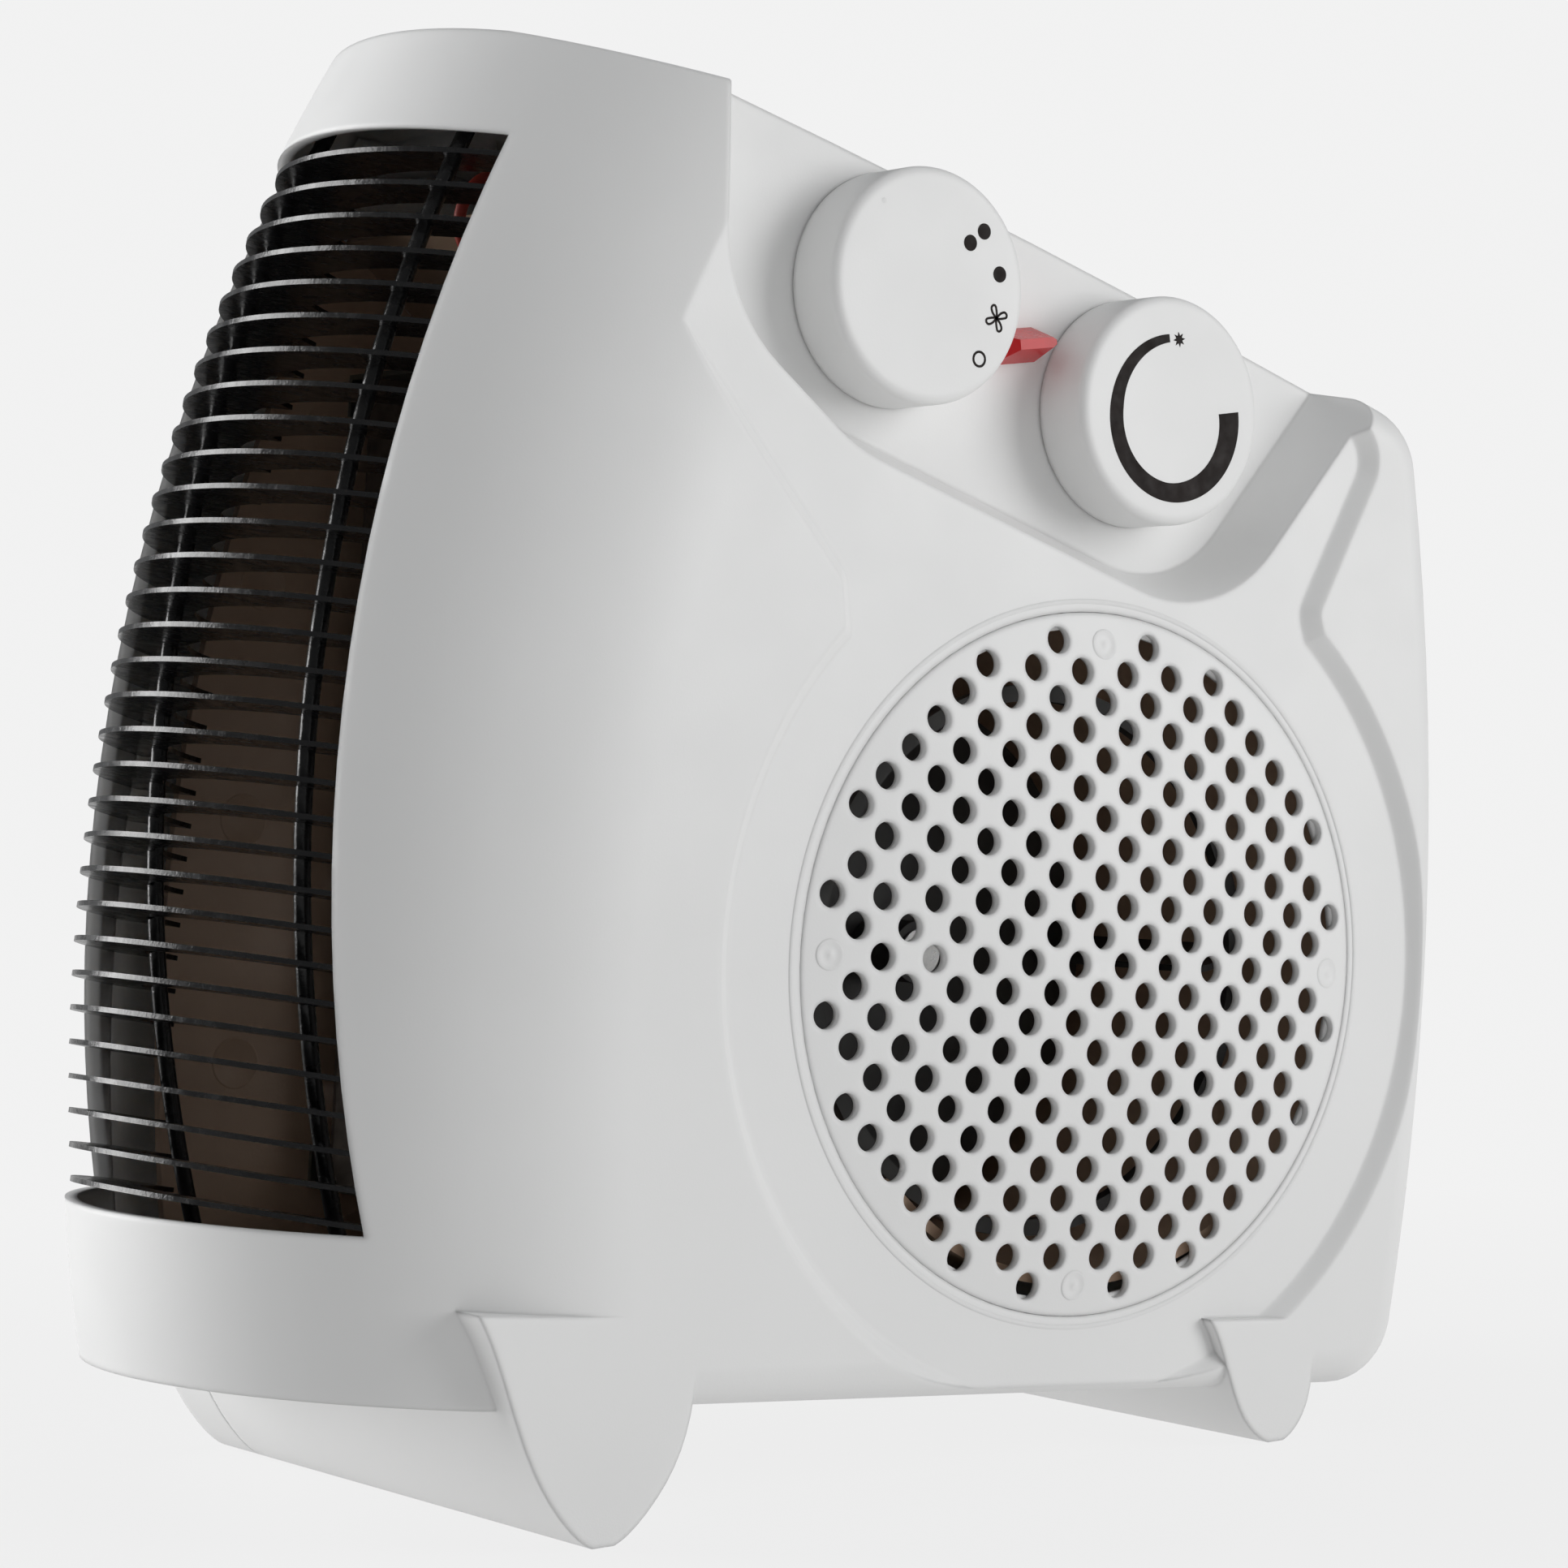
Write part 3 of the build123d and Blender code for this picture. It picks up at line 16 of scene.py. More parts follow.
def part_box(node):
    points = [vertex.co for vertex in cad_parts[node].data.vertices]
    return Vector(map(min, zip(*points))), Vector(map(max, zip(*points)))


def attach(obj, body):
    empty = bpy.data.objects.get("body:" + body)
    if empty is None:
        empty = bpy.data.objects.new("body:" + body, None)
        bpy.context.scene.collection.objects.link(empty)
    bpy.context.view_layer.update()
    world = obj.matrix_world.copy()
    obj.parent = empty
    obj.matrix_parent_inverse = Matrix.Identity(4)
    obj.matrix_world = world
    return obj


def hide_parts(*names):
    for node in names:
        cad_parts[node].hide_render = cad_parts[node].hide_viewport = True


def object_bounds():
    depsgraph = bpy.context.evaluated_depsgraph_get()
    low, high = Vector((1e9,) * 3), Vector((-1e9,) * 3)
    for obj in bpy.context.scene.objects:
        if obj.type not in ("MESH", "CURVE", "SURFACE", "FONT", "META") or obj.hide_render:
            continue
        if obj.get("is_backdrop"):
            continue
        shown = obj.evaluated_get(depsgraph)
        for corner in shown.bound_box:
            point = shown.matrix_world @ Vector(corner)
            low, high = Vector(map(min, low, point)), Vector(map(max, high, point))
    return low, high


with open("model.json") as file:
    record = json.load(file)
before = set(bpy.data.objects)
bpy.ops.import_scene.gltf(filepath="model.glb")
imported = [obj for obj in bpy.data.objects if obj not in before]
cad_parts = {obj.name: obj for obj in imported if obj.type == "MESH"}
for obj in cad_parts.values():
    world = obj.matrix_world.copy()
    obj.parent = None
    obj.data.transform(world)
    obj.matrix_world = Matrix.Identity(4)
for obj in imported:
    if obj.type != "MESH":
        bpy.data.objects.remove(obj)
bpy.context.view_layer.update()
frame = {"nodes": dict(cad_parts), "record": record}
nodes = frame["nodes"]

# %% [markdown]
# ## The leaning body
# The case leans back a few degrees on its feet.
# Places on it are easier to give in its own upright frame, in millimetres, with its origin on the fan's axis.
# `at` turns such a place into the row's frame in metres, and `along` does the same for a direction.

# %% Body frame
LEAN = math.radians(4.84)
FAN_AXIS = Vector((-1.15, 39.859, 91.9))
UP = Vector((0.0, math.sin(LEAN), math.cos(LEAN)))
REAR = Vector((0.0, math.cos(LEAN), -math.sin(LEAN)))
ACROSS = Vector((1.0, 0.0, 0.0))


def along(x, y, z):
    """Direction in the row's frame of one in the leaning body."""
    return ACROSS * x + REAR * y + UP * z


def at(x, y, z):
    """Place in the row's frame, in metres, of one in the leaning body, in millimetres."""
    return (FAN_AXIS + along(x, y, z)) / 1000.0


print("the fan's axis is at", [round(v, 4) for v in at(0, 0, 0)])

# %% [markdown]
# ## Camera
# The photograph's camera was solved from the inlet's even net of holes and the outline of the case.
# It stands a little left of the inlet side, almost level with the fan, with a long lens.

# %% Camera
camera_data = bpy.data.cameras.new("camera")
camera_data.sensor_width = 36.0
camera_data.lens = 100.06
camera = bpy.data.objects.new("camera", camera_data)
bpy.context.scene.collection.objects.link(camera)
right = Vector((0.57888, 0.81520, -0.01870))
upward = Vector((-0.01210, 0.03152, 0.99943))
backward = right.cross(upward).normalized()
upward = backward.cross(right).normalized()
turn = Matrix((right, upward, backward)).transposed()
camera.matrix_world = Matrix.Translation((0.6759, -0.4627, 0.1480)) @ turn.to_4x4()
bpy.context.scene.camera = camera
print("camera looks along", [round(v, 3) for v in -backward])

# %% [markdown]
# ## Studio
# The photograph is a product picture on plain pale grey.
# The world is even white light, and a few large soft lamps model the case.
# Seen directly, the world shows the grey of the backdrop.
# The floor has the same grey far away, so that no horizon shows.

# %% World and floor
BACKDROP = (0.885, 0.885, 0.885, 1.0)


def node(tree, kind, **values):
    """New shader node with its settings and its unlinked inputs."""
    made = tree.nodes.new("ShaderNode" + kind)
    for key, value in values.items():
        if hasattr(made, key):
            setattr(made, key, value)
        else:
            made.inputs[key.replace("_", " ").capitalize()].default_value = value
    return made


world = bpy.data.worlds.new("studio")
bpy.context.scene.world = world
world.use_nodes = True
sky = world.node_tree
sky.nodes.clear()
seen = node(sky, "Background")
seen.inputs["Color"].default_value = BACKDROP
lit = node(sky, "Background")
lit.inputs["Color"].default_value = (0.96, 0.98, 1.0, 1.0)
lit.inputs["Strength"].default_value = 0.24
rays = node(sky, "LightPath")
either = node(sky, "MixShader")
sky.links.new(rays.outputs["Is Camera Ray"], either.inputs[0])
sky.links.new(lit.outputs[0], either.inputs[1])
sky.links.new(seen.outputs[0], either.inputs[2])
sky.links.new(either.outputs[0], node(sky, "OutputWorld").inputs["Surface"])

floor_mesh = bpy.data.meshes.new("floor")
ring = [(math.cos(math.tau * k / 96), math.sin(math.tau * k / 96)) for k in range(96)]
floor_mesh.from_pydata([(30.0 * c, 30.0 * s, -0.0002) for c, s in ring], [], [tuple(range(96))])
floor = bpy.data.objects.new("floor", floor_mesh)
bpy.context.scene.collection.objects.link(floor)
floor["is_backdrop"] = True
paper = bpy.data.materials.new("backdrop_paper")
paper.use_nodes = True
tree = paper.node_tree
tree.nodes.clear()
matte = node(tree, "BsdfDiffuse")
matte.inputs["Color"].default_value = (0.84, 0.84, 0.84, 1.0)
glow = node(tree, "Emission")
glow.inputs["Color"].default_value = BACKDROP
place = node(tree, "NewGeometry")
reach = node(tree, "VectorMath", operation="LENGTH")
fade = node(tree, "MapRange")
for key, value in (("From Min", 0.12), ("From Max", 0.42), ("To Min", 0.9)):
    fade.inputs[key].default_value = value
aimed = node(tree, "LightPath")
strength = node(tree, "MapRange")
strength.inputs["To Min"].default_value = 0.75
tree.links.new(aimed.outputs["Is Camera Ray"], strength.inputs["Value"])
tree.links.new(strength.outputs["Result"], glow.inputs["Strength"])
mixed = node(tree, "MixShader")
tree.links.new(place.outputs["Position"], reach.inputs[0])
tree.links.new(reach.outputs["Value"], fade.inputs["Value"])
tree.links.new(fade.outputs["Result"], mixed.inputs[0])
tree.links.new(matte.outputs[0], mixed.inputs[1])
tree.links.new(glow.outputs[0], mixed.inputs[2])
tree.links.new(mixed.outputs[0], node(tree, "OutputMaterial").inputs["Surface"])
floor_mesh.materials.append(paper)


def lamp(name, place, target, size, power, colour=(1.0, 1.0, 1.0)):
    """Large soft lamp that faces its target."""
    data = bpy.data.lights.new(name, "AREA")
    data.shape = "RECTANGLE"
    data.size = size[0]
    data.size_y = size[1]
    data.energy = power
    data.color = colour
    made = bpy.data.objects.new(name, data)
    bpy.context.scene.collection.objects.link(made)
    made.location = place
    made.rotation_euler = (Vector(target) - Vector(place)).to_track_quat("-Z", "Y").to_euler()
    made.visible_camera = False
    return made


lamps = [
    lamp("front_lamp", (-1.1, -1.0, 0.42), (0.0, -0.03, 0.13), (0.9, 1.1), 23.0),
    lamp("rear_lamp", (1.15, 0.95, 0.35), (0.05, 0.02, 0.12), (0.9, 1.1), 13.0),
    lamp("top_lamp", (0.2, -0.1, 1.3), (0.0, 0.0, 0.1), (1.2, 1.2), 2.5),
]
bpy.context.scene.view_settings.view_transform = "Standard"
print(len(lamps), "lamps round a floor", round(floor.dimensions.x, 1), "m across")

# %% [markdown]
# ## Materials
# Every slot of the record gets its own node material.
# Colours come from noise between two close tints, and fine bumps stand for the moulded, drawn or painted surface.
# Coordinates are those of the object, which are metres in the row's frame, so every grain has its real size.

# %% Material tools


class Shader:
    """A Principled material under construction."""

    def __init__(self, name, **sockets):
        self.material = bpy.data.materials.new(name)
        self.material.use_nodes = True
        self.tree = self.material.node_tree
        self.surface = self.tree.nodes["Principled BSDF"]
        self.where = node(self.tree, "TexCoord")
        self.set(**sockets)

    def set(self, **sockets):
        """Sets uniform numbers and colours on the surface's own sockets."""
        for key, value in sockets.items():
            self.surface.inputs[key.replace("_", " ")].default_value = value
        return self

    def link(self, output, socket):
        """Links an output to a socket of the surface."""
        self.tree.links.new(output, self.surface.inputs[socket])

    def noise(self, scale, detail=3.0, stretch=(1.0, 1.0, 1.0)):
        """Noise over the object's metres, stretched along an axis where its factor is small."""
        mapping = node(self.tree, "Mapping")
        mapping.inputs["Scale"].default_value = stretch
        self.tree.links.new(self.where.outputs["Object"], mapping.inputs["Vector"])
        made = node(self.tree, "TexNoise", scale=scale, detail=detail)
        self.tree.links.new(mapping.outputs["Vector"], made.inputs["Vector"])
        return made.outputs["Fac"]

    def ramp(self, source, stops):
        """Colour ramp over a source, through stops of position and colour."""
        made = node(self.tree, "ValToRGB")
        marks = made.color_ramp.elements
        while len(marks) < len(stops):
            marks.new(0.5)
        for mark, (position, colour) in zip(marks, stops):
            mark.position = position
            mark.color = (*colour, 1.0)
        self.tree.links.new(source, made.inputs["Fac"])
        return made.outputs["Color"]

    def spread(self, source, low, high):
        """Maps the middle of a noise onto a range."""
        made = node(self.tree, "MapRange")
        for key, value in (("From Min", 0.3), ("From Max", 0.7), ("To Min", low), ("To Max", high)):
            made.inputs[key].default_value = value
        self.tree.links.new(source, made.inputs["Value"])
        return made.outputs["Result"]

    def tint(self, dark, light, scale, detail=3.0, stretch=(1.0, 1.0, 1.0)):
        """Base colour that wanders between two tints."""
        self.link(self.ramp(self.noise(scale, detail, stretch), [(0.3, dark), (0.7, light)]), "Base Color")
        return self

    def rough(self, low, high, scale, stretch=(1.0, 1.0, 1.0)):
        """Roughness that wanders between two values."""
        self.link(self.spread(self.noise(scale, 2.0, stretch), low, high), "Roughness")
        return self

    def bumps(self, *layers, soften=0.0):
        """Bump from layers of scale, height in millimetres and stretch, over edges softened by a radius."""
        normal = None
        if soften:
            rounded = node(self.tree, "Bevel", samples=6)
            rounded.inputs["Radius"].default_value = soften / 1000.0
            normal = rounded.outputs["Normal"]
        for scale, height, stretch in layers:
            made = node(self.tree, "Bump")
            made.inputs["Distance"].default_value = height / 1000.0
            self.tree.links.new(self.noise(scale, 2.0, stretch), made.inputs["Height"])
            if normal:
                self.tree.links.new(normal, made.inputs["Normal"])
            normal = made.outputs["Normal"]
        self.link(normal, "Normal")
        return self


EVEN = (1.0, 1.0, 1.0)
UPRIGHT = (1.0, 1.0, 0.08)
SIDEWAYS = (0.06, 1.0, 1.0)

# %% [markdown]
# ### Mouldings
# The case and the knobs are satin white, with broad cool and warm drifts and a fine moulded grain.
# The duct is a brown heat-proof moulding.
# The other mouldings are small pieces inside.

# %% Plastics and rubber
finishes = {}
white = Shader("white_moulding", Subsurface_Weight=0.06, Subsurface_Radius=(0.9, 0.85, 0.8), Subsurface_Scale=0.004)
white.tint((0.765, 0.765, 0.76), (0.80, 0.80, 0.795), 14.0)
white.rough(0.40, 0.50, 55.0).bumps((2600.0, 0.012, EVEN), (160.0, 0.02, EVEN), soften=1.6)
finishes["shell_plastic"] = white.material

brown = Shader("brown_moulding", Specular_IOR_Level=0.5)
brown.tint((0.46, 0.32, 0.225), (0.56, 0.40, 0.29), 18.0).rough(0.30, 0.46, 70.0)
brown.bumps((1400.0, 0.02, EVEN), (90.0, 0.05, EVEN))
finishes["duct_plastic"] = brown.material

for slot, dark, light, low, high in (
    ("spindle_plastic", (0.62, 0.61, 0.57), (0.74, 0.73, 0.69), 0.35, 0.5),
    ("switch_body", (0.02, 0.02, 0.02), (0.045, 0.045, 0.045), 0.4, 0.6),
    ("bobbin", (0.55, 0.54, 0.50), (0.66, 0.65, 0.60), 0.4, 0.55),
    ("fan_plastic", (0.018, 0.018, 0.018), (0.05, 0.048, 0.045), 0.32, 0.55),
    ("terminal_plastic", (0.66, 0.66, 0.63), (0.76, 0.76, 0.74), 0.35, 0.5),
    ("gland_rubber", (0.018, 0.018, 0.018), (0.035, 0.035, 0.035), 0.6, 0.8),
    ("lead_brown", (0.10, 0.05, 0.03), (0.15, 0.08, 0.05), 0.45, 0.6),
    ("lead_red", (0.36, 0.03, 0.02), (0.48, 0.05, 0.03), 0.45, 0.6),
):
    made = Shader(slot + "_finish").tint(dark, light, 60.0).rough(low, high, 120.0)
    made.bumps((1800.0, 0.015, EVEN))
    finishes[slot] = made.material
print(len(finishes), "mouldings")

# %% [markdown]
# ### Guard paint
# The louvers and rods are dipped in gloss black.
# Runs and thick edges catch the light, and grey dust and grit lie in the paint on the faces that look up.

# %% Guard paint
guard = Shader("gloss_black_paint", Specular_IOR_Level=0.3, Coat_Weight=0.12, Coat_Roughness=0.2)
up = node(guard.tree, "SeparateXYZ")
guard.tree.links.new(node(guard.tree, "NewGeometry").outputs["Normal"], up.inputs[0])
specks = guard.ramp(guard.noise(1500.0, 4.0), [(0.60, (0.0, 0.0, 0.0)), (0.68, (1.0, 1.0, 1.0))])
film = guard.ramp(guard.noise(110.0, 4.0), [(0.35, (0.0, 0.0, 0.0)), (0.75, (0.35, 0.35, 0.35))])
both = node(guard.tree, "Mix", data_type="RGBA", blend_type="LIGHTEN")
both.inputs[0].default_value = 1.0
guard.tree.links.new(specks, both.inputs[6])
guard.tree.links.new(film, both.inputs[7])
facing_up = node(guard.tree, "Math", operation="MULTIPLY")
guard.tree.links.new(up.outputs["Z"], facing_up.inputs[0])
guard.tree.links.new(both.outputs[2], facing_up.inputs[1])
facing_up.use_clamp = True
dusty = node(guard.tree, "Mix", data_type="RGBA")
dusty.inputs[6].default_value = (0.006, 0.006, 0.0065, 1.0)
dusty.inputs[7].default_value = (0.06, 0.052, 0.046, 1.0)
guard.tree.links.new(facing_up.outputs[0], dusty.inputs[0])
guard.link(dusty.outputs[2], "Base Color")
guard.rough(0.14, 0.34, 240.0).bumps((420.0, 0.12, EVEN), (1900.0, 0.05, EVEN))
finishes["guard_paint"] = guard.material

# %% [markdown]
# ### Metals, mica and glass
# Drawn and rolled metals carry fine streaks along their length.
# The heater's plates are dulled by heat, the mica board is flaky, and the lens is clear red.

# %% Metals and the rest
for slot, dark, light, low, high, metal, scale, stretch in (
    ("bimetal", (0.40, 0.37, 0.33), (0.55, 0.51, 0.46), 0.3, 0.5, 1.0, 900.0, SIDEWAYS),
    ("brass", (0.55, 0.38, 0.14), (0.72, 0.54, 0.24), 0.25, 0.42, 1.0, 500.0, EVEN),
    ("core_steel", (0.09, 0.095, 0.10), (0.17, 0.175, 0.18), 0.4, 0.6, 0.6, 700.0, (1.0, 0.05, 0.05)),
    ("copper", (0.50, 0.20, 0.10), (0.70, 0.34, 0.20), 0.25, 0.4, 1.0, 500.0, EVEN),
    ("bracket_metal", (0.42, 0.42, 0.43), (0.58, 0.58, 0.59), 0.4, 0.6, 1.0, 220.0, EVEN),
    ("bronze", (0.36, 0.24, 0.11), (0.50, 0.35, 0.18), 0.35, 0.55, 1.0, 600.0, EVEN),
    ("steel", (0.48, 0.48, 0.48), (0.66, 0.66, 0.65), 0.22, 0.4, 1.0, 600.0, SIDEWAYS),
    ("rotor_steel", (0.16, 0.16, 0.165), (0.28, 0.28, 0.285), 0.35, 0.55, 1.0, 500.0, SIDEWAYS),
    ("heater_steel", (0.13, 0.15, 0.135), (0.27, 0.30, 0.28), 0.25, 0.45, 1.0, 160.0, SIDEWAYS),
    ("heating_wire", (0.50, 0.46, 0.41), (0.78, 0.74, 0.68), 0.2, 0.35, 1.0, 900.0, EVEN),
    ("cutout", (0.50, 0.50, 0.50), (0.66, 0.66, 0.66), 0.25, 0.4, 1.0, 500.0, EVEN),
    ("fuse", (0.55, 0.55, 0.55), (0.72, 0.72, 0.72), 0.22, 0.35, 1.0, 500.0, SIDEWAYS),
):
    made = Shader(slot + "_finish", Metallic=metal).tint(dark, light, scale, 3.0, stretch)
    made.rough(low, high, scale, stretch).bumps((scale * 2.0, 0.01, stretch))
    finishes[slot] = made.material

ceramic = Shader("thermostat_ceramic_finish").tint((0.56, 0.52, 0.45), (0.66, 0.62, 0.54), 90.0)
ceramic.rough(0.6, 0.8, 150.0).bumps((1200.0, 0.03, EVEN))
finishes["thermostat_ceramic"] = ceramic.material

winding = Shader("winding_finish", Coat_Weight=0.3, Coat_Roughness=0.3)
winding.tint((0.24, 0.07, 0.02), (0.42, 0.15, 0.05), 900.0, 2.0, SIDEWAYS)
winding.rough(0.3, 0.45, 300.0).bumps((1100.0, 0.12, SIDEWAYS))
finishes["winding"] = winding.material

mica = Shader("mica_finish", Sheen_Weight=0.2)
mica.tint((0.055, 0.038, 0.028), (0.13, 0.095, 0.07), 240.0, 6.0).rough(0.35, 0.6, 200.0)
mica.bumps((900.0, 0.04, EVEN))
finishes["mica"] = mica.material

lens = Shader("red_lens", Transmission_Weight=0.12, IOR=1.49, Specular_IOR_Level=0.3, Emission_Strength=0.06)
lens.set(Emission_Color=(1.0, 0.02, 0.02, 1.0))
lens.tint((0.36, 0.003, 0.006), (0.50, 0.007, 0.012), 120.0).rough(0.08, 0.18, 300.0)
lens.bumps((700.0, 0.02, EVEN))
finishes["lens"] = lens.material

neon = Shader("neon_glass_finish", Transmission_Weight=0.7, IOR=1.46)
neon.tint((0.75, 0.30, 0.14), (0.95, 0.45, 0.25), 150.0).rough(0.05, 0.12, 300.0).bumps((500.0, 0.01, EVEN))
finishes["neon_glass"] = neon.material

slot_of = {row["node"]: row["material_slot"] for row in frame["record"]["subparts"]}
for name, obj in nodes.items():
    obj.data.materials.clear()
    obj.data.materials.append(finishes[slot_of[name]])
print(len(finishes), "finishes on", len(nodes), "nodes")

# %% [markdown]
# ## Tools for the small pieces
# The marks on the knobs lie on flat faces, so they are drawn in the side view and given a hair of thickness.
# `patch` fills an outline, and `ribbon` follows a line with a width of its own at each point.

# %% Piece tools


def piece(name, mesh, body, material):
    """Object of a finished mesh that rides on a body."""
    made = bpy.data.objects.new(name, mesh)
    bpy.context.scene.collection.objects.link(made)
    mesh.materials.append(material)
    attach(made, body)
    return made


def patch(rings, x, thick=0.05):
    """Bmesh of filled side-view outlines, standing out of the side plane at x by thick millimetres."""
    made = bmesh.new()
    for outline in rings:
        low = [made.verts.new(at(x - 0.02, y, z)) for y, z in outline]
        high = [made.verts.new(at(x + thick, y, z)) for y, z in outline]
        made.faces.new(high)
        for k in range(len(outline)):
            follow = (k + 1) % len(outline)
            made.faces.new((low[k], low[follow], high[follow], high[k]))
    return made


def ribbon(line, widths, closed):
    """Outlines of the short quads that together follow a line with a width at each point."""
    count = len(line)
    sides = []
    for k, (y, z) in enumerate(line):
        before = line[(k - 1) % count] if closed or k else line[0]
        after = line[(k + 1) % count] if closed or k < count - 1 else line[-1]
        run = math.hypot(after[0] - before[0], after[1] - before[1])
        cross = (-(after[1] - before[1]) / run, (after[0] - before[0]) / run)
        half = widths[k] / 2
        sides.append(((y - cross[0] * half, z - cross[1] * half), (y + cross[0] * half, z + cross[1] * half)))
    spans = range(count if closed else count - 1)
    return [[sides[k][0], sides[(k + 1) % count][0], sides[(k + 1) % count][1], sides[k][1]] for k in spans]


def round_line(centre, radius, first, last, steps):
    """Points of an arc in the side view, with its angles in degrees."""
    turns = [math.radians(first + (last - first) * k / steps) for k in range(steps + 1)]
    return [(centre[0] + radius * math.cos(t), centre[1] + radius * math.sin(t)) for t in turns]


def to_mesh(name, built):
    """Mesh of a bmesh, with its normals turned outward."""
    bmesh.ops.recalc_face_normals(built, faces=built.faces)
    mesh = bpy.data.meshes.new(name)
    built.to_mesh(mesh)
    built.free()
    return mesh


ink = Shader("pad_print_ink", Specular_IOR_Level=0.15).tint((0.009, 0.006, 0.005), (0.018, 0.013, 0.012), 300.0)
ink.rough(0.5, 0.7, 400.0).bumps((2500.0, 0.01, EVEN))
FACE_X = 63.3
print("marks lie on the knob faces at", FACE_X, "mm")

# %% [markdown]
# ## Marks on the knobs
# The switch has an open circle for off, a fan, one dot and two dots.
# The thermostat has an arc that grows thicker as it gets warmer, and a frost star beside its thin end.

# %% Switch marks
SWITCH = (-43.5, 118.8)
THERMOSTAT = (13.3, 102.4)
DOT = 1.45


def disc(centre, radius, steps=40):
    """Outline of a round dot."""
    return round_line(centre, radius, 0, 360 - 360 / steps, steps - 1)


def blade(centre, turn):
    """Closed outline of one curved fan blade."""
    shape = [(0.1, 0.0), (0.5, 0.42), (1.1, 0.82), (1.9, 0.98), (2.35, 0.55), (2.2, 0.05), (1.5, -0.1), (0.7, -0.14)]
    smooth = []
    for k in range(len(shape)):
        a, b, c, d = (shape[(k + j) % len(shape)] for j in range(-1, 3))
        for step in range(5):
            t = step / 5
            smooth.append(tuple(
                0.5 * (2 * b[i] + (c[i] - a[i]) * t + (2 * a[i] - 5 * b[i] + 4 * c[i] - d[i]) * t * t
                       + (3 * b[i] - a[i] - 3 * c[i] + d[i]) * t**3)
                for i in (0, 1)
            ))
    cos, sin = math.cos(turn), math.sin(turn)
    return [(centre[0] + y * cos - z * sin, centre[1] + y * sin + z * cos) for y, z in smooth]


fan_centre = (SWITCH[0] + 14.93, SWITCH[1] - 4.16)
off_centre = (SWITCH[0] + 11.5, SWITCH[1] - 11.85)
outlines = [
    disc((SWITCH[0] + 15.18, SWITCH[1] + 3.73), DOT),
    disc((SWITCH[0] + 8.26, SWITCH[1] + 8.54), DOT),
    disc((SWITCH[0] + 11.23, SWITCH[1] + 10.94), DOT),
]
outlines += ribbon(disc(off_centre, 1.3), [0.44] * 40, True)
for quarter in range(4):
    line = blade(fan_centre, math.radians(90 * quarter + 8))
    outlines += ribbon(line, [0.42] * len(line), True)
switch_marks = piece("switch_marks", to_mesh("switch_marks", patch(outlines, FACE_X)), "switch_dial", ink.material)

# %% Thermostat marks
ARC_WIDTHS = [(98.5, 1.5), (175.0, 3.1), (264.0, 3.45), (370.0, 4.8)]
arc_centre = (THERMOSTAT[0] + 0.84, THERMOSTAT[1] - 1.35)
steps = 120
inner_and_outer = []
for k in range(steps + 1):
    share = k / steps
    angle = 98.5 + share * (370.0 - 98.5)
    known = next(k for k in range(3) if angle <= ARC_WIDTHS[k + 1][0])
    (low_angle, low_width), (high_angle, high_width) = ARC_WIDTHS[known:known + 2]
    width = low_width + (high_width - low_width) * (angle - low_angle) / (high_angle - low_angle)
    inner_and_outer.append((math.radians(angle), 15.5 - width / 2, width))
arc_line = [(arc_centre[0] + r * math.cos(a), arc_centre[1] + r * math.sin(a)) for a, r, _ in inner_and_outer]
outlines = ribbon(arc_line, [w for _, _, w in inner_and_outer], False)
star_centre = (THERMOSTAT[0] + 0.95, THERMOSTAT[1] + 13.25)
star = []
for k in range(16):
    spike = 1.42 if k % 2 == 0 else 0.72
    angle = math.tau * k / 16 + 0.2
    star.append((star_centre[0] + spike * math.cos(angle), star_centre[1] + spike * math.sin(angle)))
outlines.append(star)
thermostat_marks = piece(
    "thermostat_marks", to_mesh("thermostat_marks", patch(outlines, FACE_X)), "thermostat_dial", ink.material
)
print("mark faces:", len(switch_marks.data.polygons), "and", len(thermostat_marks.data.polygons))

# %% [markdown]
# ## Moulding marks
# Four round pin marks stand among the inlet's holes, and four larger ones on the duct's far wall.
# A fine raised line runs round the disc.
# The switch knob has the small mark of its moulding gate.

# %% Turned rings


def turned(name, centre, normal, profile, steps=72):
    """Mesh of a profile of radius and height, in millimetres, turned about a normal at a place."""
    normal = normal.normalized()
    first = normal.orthogonal().normalized()
    second = normal.cross(first)
    made = bmesh.new()
    rows = []
    for k in range(steps):
        angle = math.tau * k / steps
        out = first * math.cos(angle) + second * math.sin(angle)
        rows.append([made.verts.new(centre + out * (r / 1000.0) + normal * (h / 1000.0)) for r, h in profile])
    for k in range(steps):
        a, b = rows[k], rows[(k + 1) % steps]
        for j in range(len(profile) - 1):
            made.faces.new((a[j], b[j], b[j + 1], a[j + 1]))
    mesh = to_mesh(name, made)
    for face in mesh.polygons:
        face.use_smooth = True
    return mesh


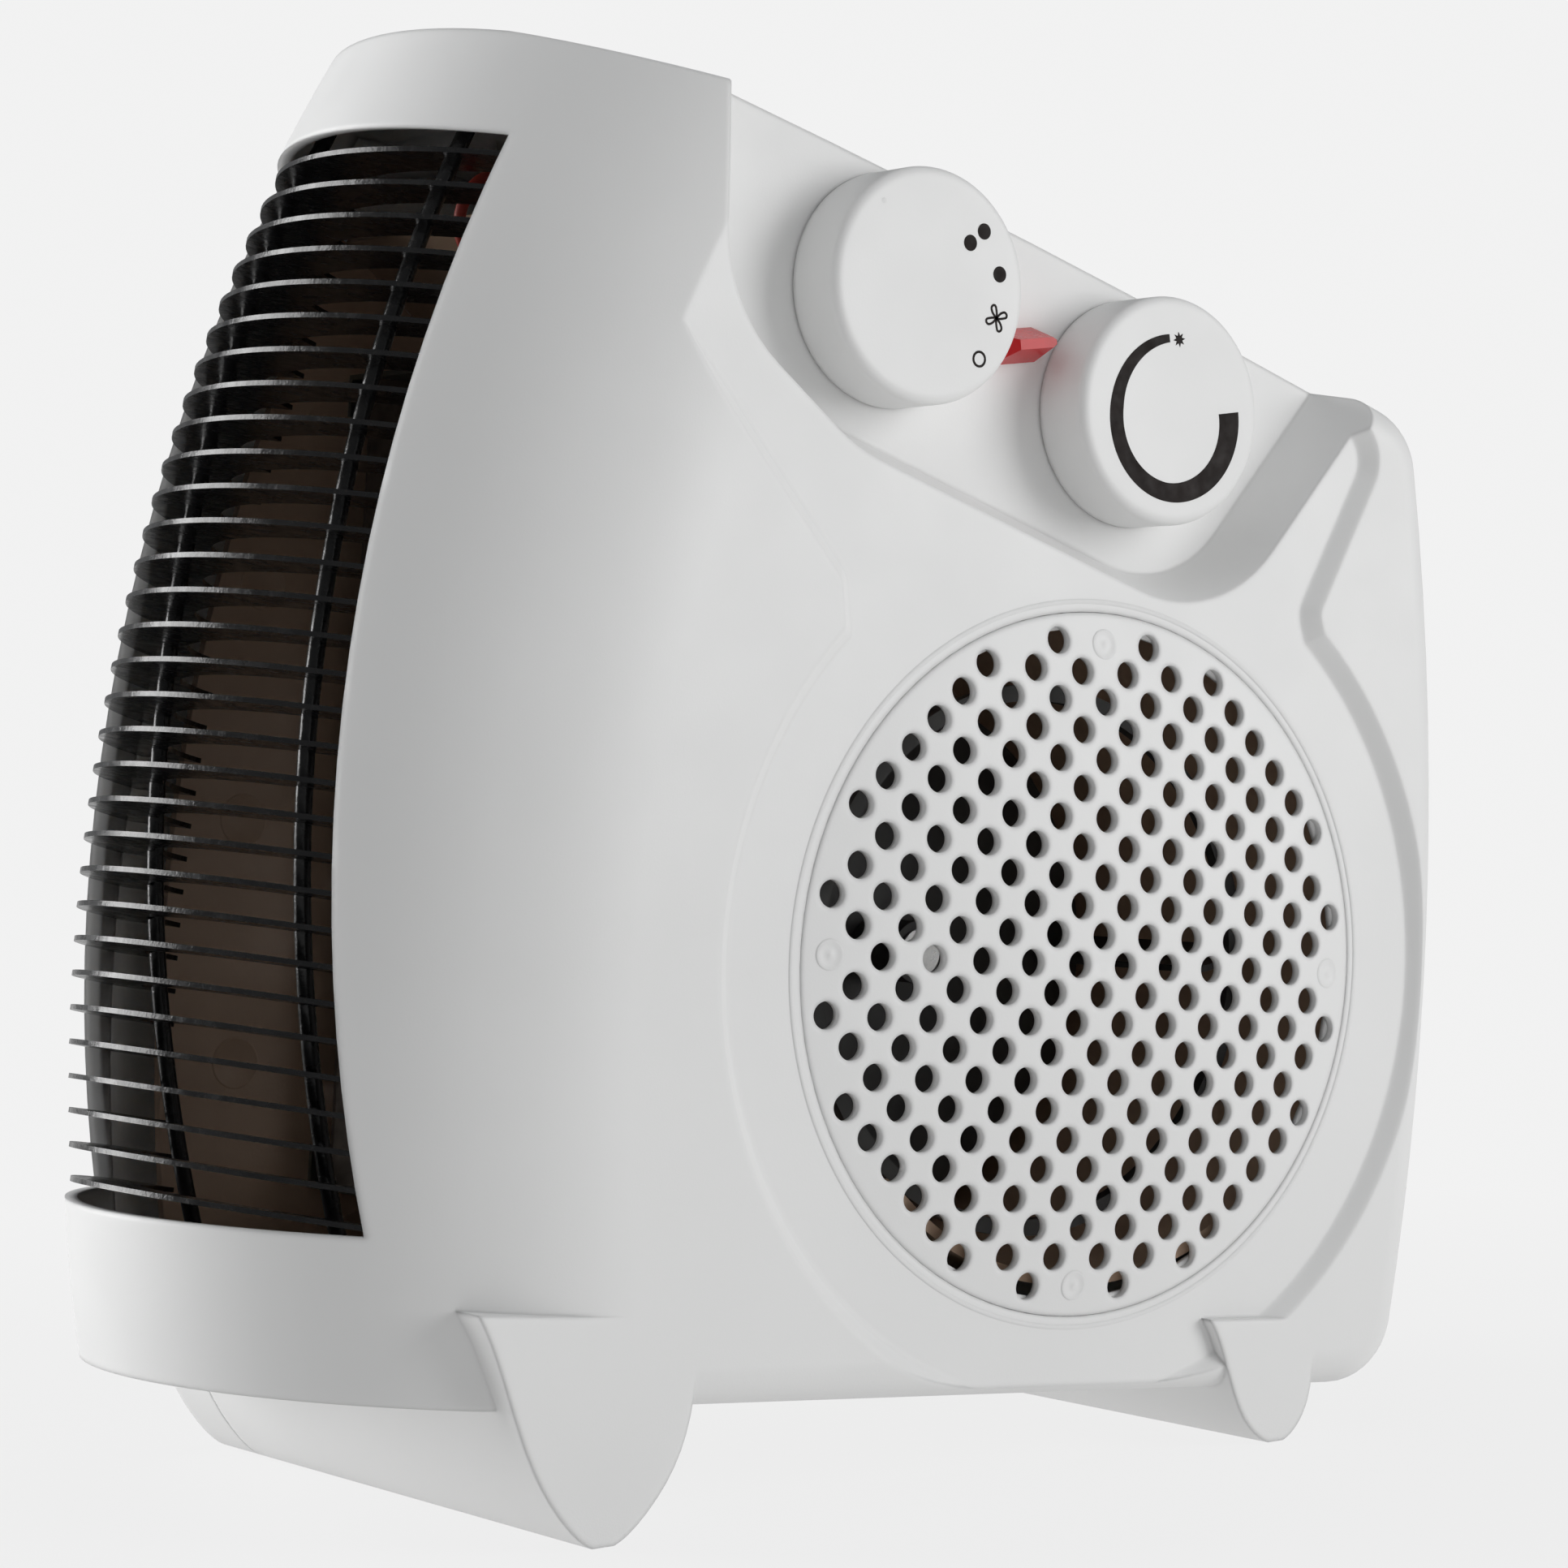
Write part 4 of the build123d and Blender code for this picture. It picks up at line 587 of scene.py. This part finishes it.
GRILLE_TOP = 67.3
GRILLE_CURVE = 429.0
PIN_RADIUS = 58.3
for number, (y, z) in enumerate(((PIN_RADIUS, 0), (0, PIN_RADIUS), (-PIN_RADIUS, 0), (0, -PIN_RADIUS))):
    x = GRILLE_TOP - GRILLE_CURVE + math.sqrt(GRILLE_CURVE**2 - PIN_RADIUS**2)
    normal = along(GRILLE_CURVE, y, z)
    mesh = turned(
        f"pin_mark_{number}", at(x, y, z), normal,
        [(0.0, 0.16), (0.22, 0.15), (0.34, 0.02), (2.1, 0.02), (2.25, 0.13), (2.5, 0.16), (2.72, 0.11), (2.85, -0.05)], 48,
    )
    piece(f"pin_mark_{number}", mesh, "body", white.material)
for number, (y, z) in enumerate(((-110.2, 98.4), (-114.1, 62.9), (-115.8, 18.7), (-114.8, -26.8))):
    mesh = turned(
        f"wall_pin_mark_{number}", at(-46.0, y, z), ACROSS,
        [(0.0, 0.05), (4.35, 0.05), (4.5, 0.16), (4.75, 0.16), (4.9, -0.05)], 48,
    )
    piece(f"wall_pin_mark_{number}", mesh, "body", brown.material)
seam = turned("disc_seam", at(62.5, 0, 0), ACROSS, [(65.5, -0.05), (65.65, 0.16), (66.0, 0.22), (66.35, 0.16), (66.5, -0.05)], 180)
piece("disc_seam", seam, "body", white.material)
gate_place = at(FACE_X, SWITCH[0] - 11.2, SWITCH[1] + 13.6)
gate = turned("gate_mark", gate_place, ACROSS, [(0.0, 0.05), (0.18, 0.05), (0.3, 0.02), (0.42, 0.09), (0.55, -0.02)], 32)
piece("gate_mark", gate, "switch_dial", white.material)
print("disc seam", round(max(v.co.z for v in seam.vertices) - min(v.co.z for v in seam.vertices), 4), "m high")

# %% [markdown]
# ## Heating wires
# The CAD wires are smooth zigzag rods in two layers.
# Real resistance wire is crimped all along its upright runs, so each rod is replaced by a crimped one on the same route.

# %% Crimped wires


def crimped_wire(name, node_name):
    """Crimped wire in place of a CAD wire, at the depth read from its box, in eight runs given here."""
    low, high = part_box(node_name)
    centre = (low + high) / 2
    local = centre * 1000.0 - FAN_AXIS
    y = local.dot(REAR)
    pitch, runs, radius = 8.0, 8, 0.42
    bottom, top = -37.0, 96.0
    start = -44.0
    points = []
    for run in range(runs):
        x = -pitch * (runs - 1) / 2 + pitch * run
        begin, end = (bottom if run else start, top) if run % 2 == 0 else (top, bottom if run < runs - 1 else start)
        count = int(abs(end - begin) / 1.55)
        for k in range(count + 1):
            share = k / count
            z = begin + (end - begin) * share
            edge = min(1.0, 6 * share, 6 * (1 - share))
            swing = 1.5 * edge * (1 if k % 2 else -1) * (1.0 + 0.16 * math.sin(2.3 * k + run))
            points.append((x + 0.35 * swing, y + swing, z))
        if run < runs - 1:
            arc = range(1, 8)
            sign = 1 if run % 2 == 0 else -1
            points += [(x + 4 - 4 * math.cos(math.pi * j / 8), y, end + sign * 4 * math.sin(math.pi * j / 8)) for j in arc]
    data = bpy.data.curves.new(name, "CURVE")
    data.dimensions = "3D"
    line = data.splines.new("POLY")
    line.points.add(len(points) - 1)
    for point, place in zip(line.points, points):
        point.co = (*at(*place), 1.0)
    data.bevel_depth = radius / 1000.0
    data.bevel_resolution = 1
    rough = bpy.data.objects.new(name + "_line", data)
    bpy.context.scene.collection.objects.link(rough)
    mesh = bpy.data.meshes.new_from_object(rough.evaluated_get(bpy.context.evaluated_depsgraph_get()))
    bpy.data.objects.remove(rough)
    made = piece(name, mesh, "body", finishes["heating_wire"])
    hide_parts(node_name)
    return made


for layer in ("front", "rear"):
    wire = crimped_wire("crimped_wire_" + layer, "heating_wire_" + layer)
    print(wire.name, len(wire.data.polygons), "faces")

# %% [markdown]
# ## Size of the finished model
# The box round everything the finished model renders, the floor left out, is measured. The
# finished model has to stay inside the CAD model's box.

# %% Sizes
low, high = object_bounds()
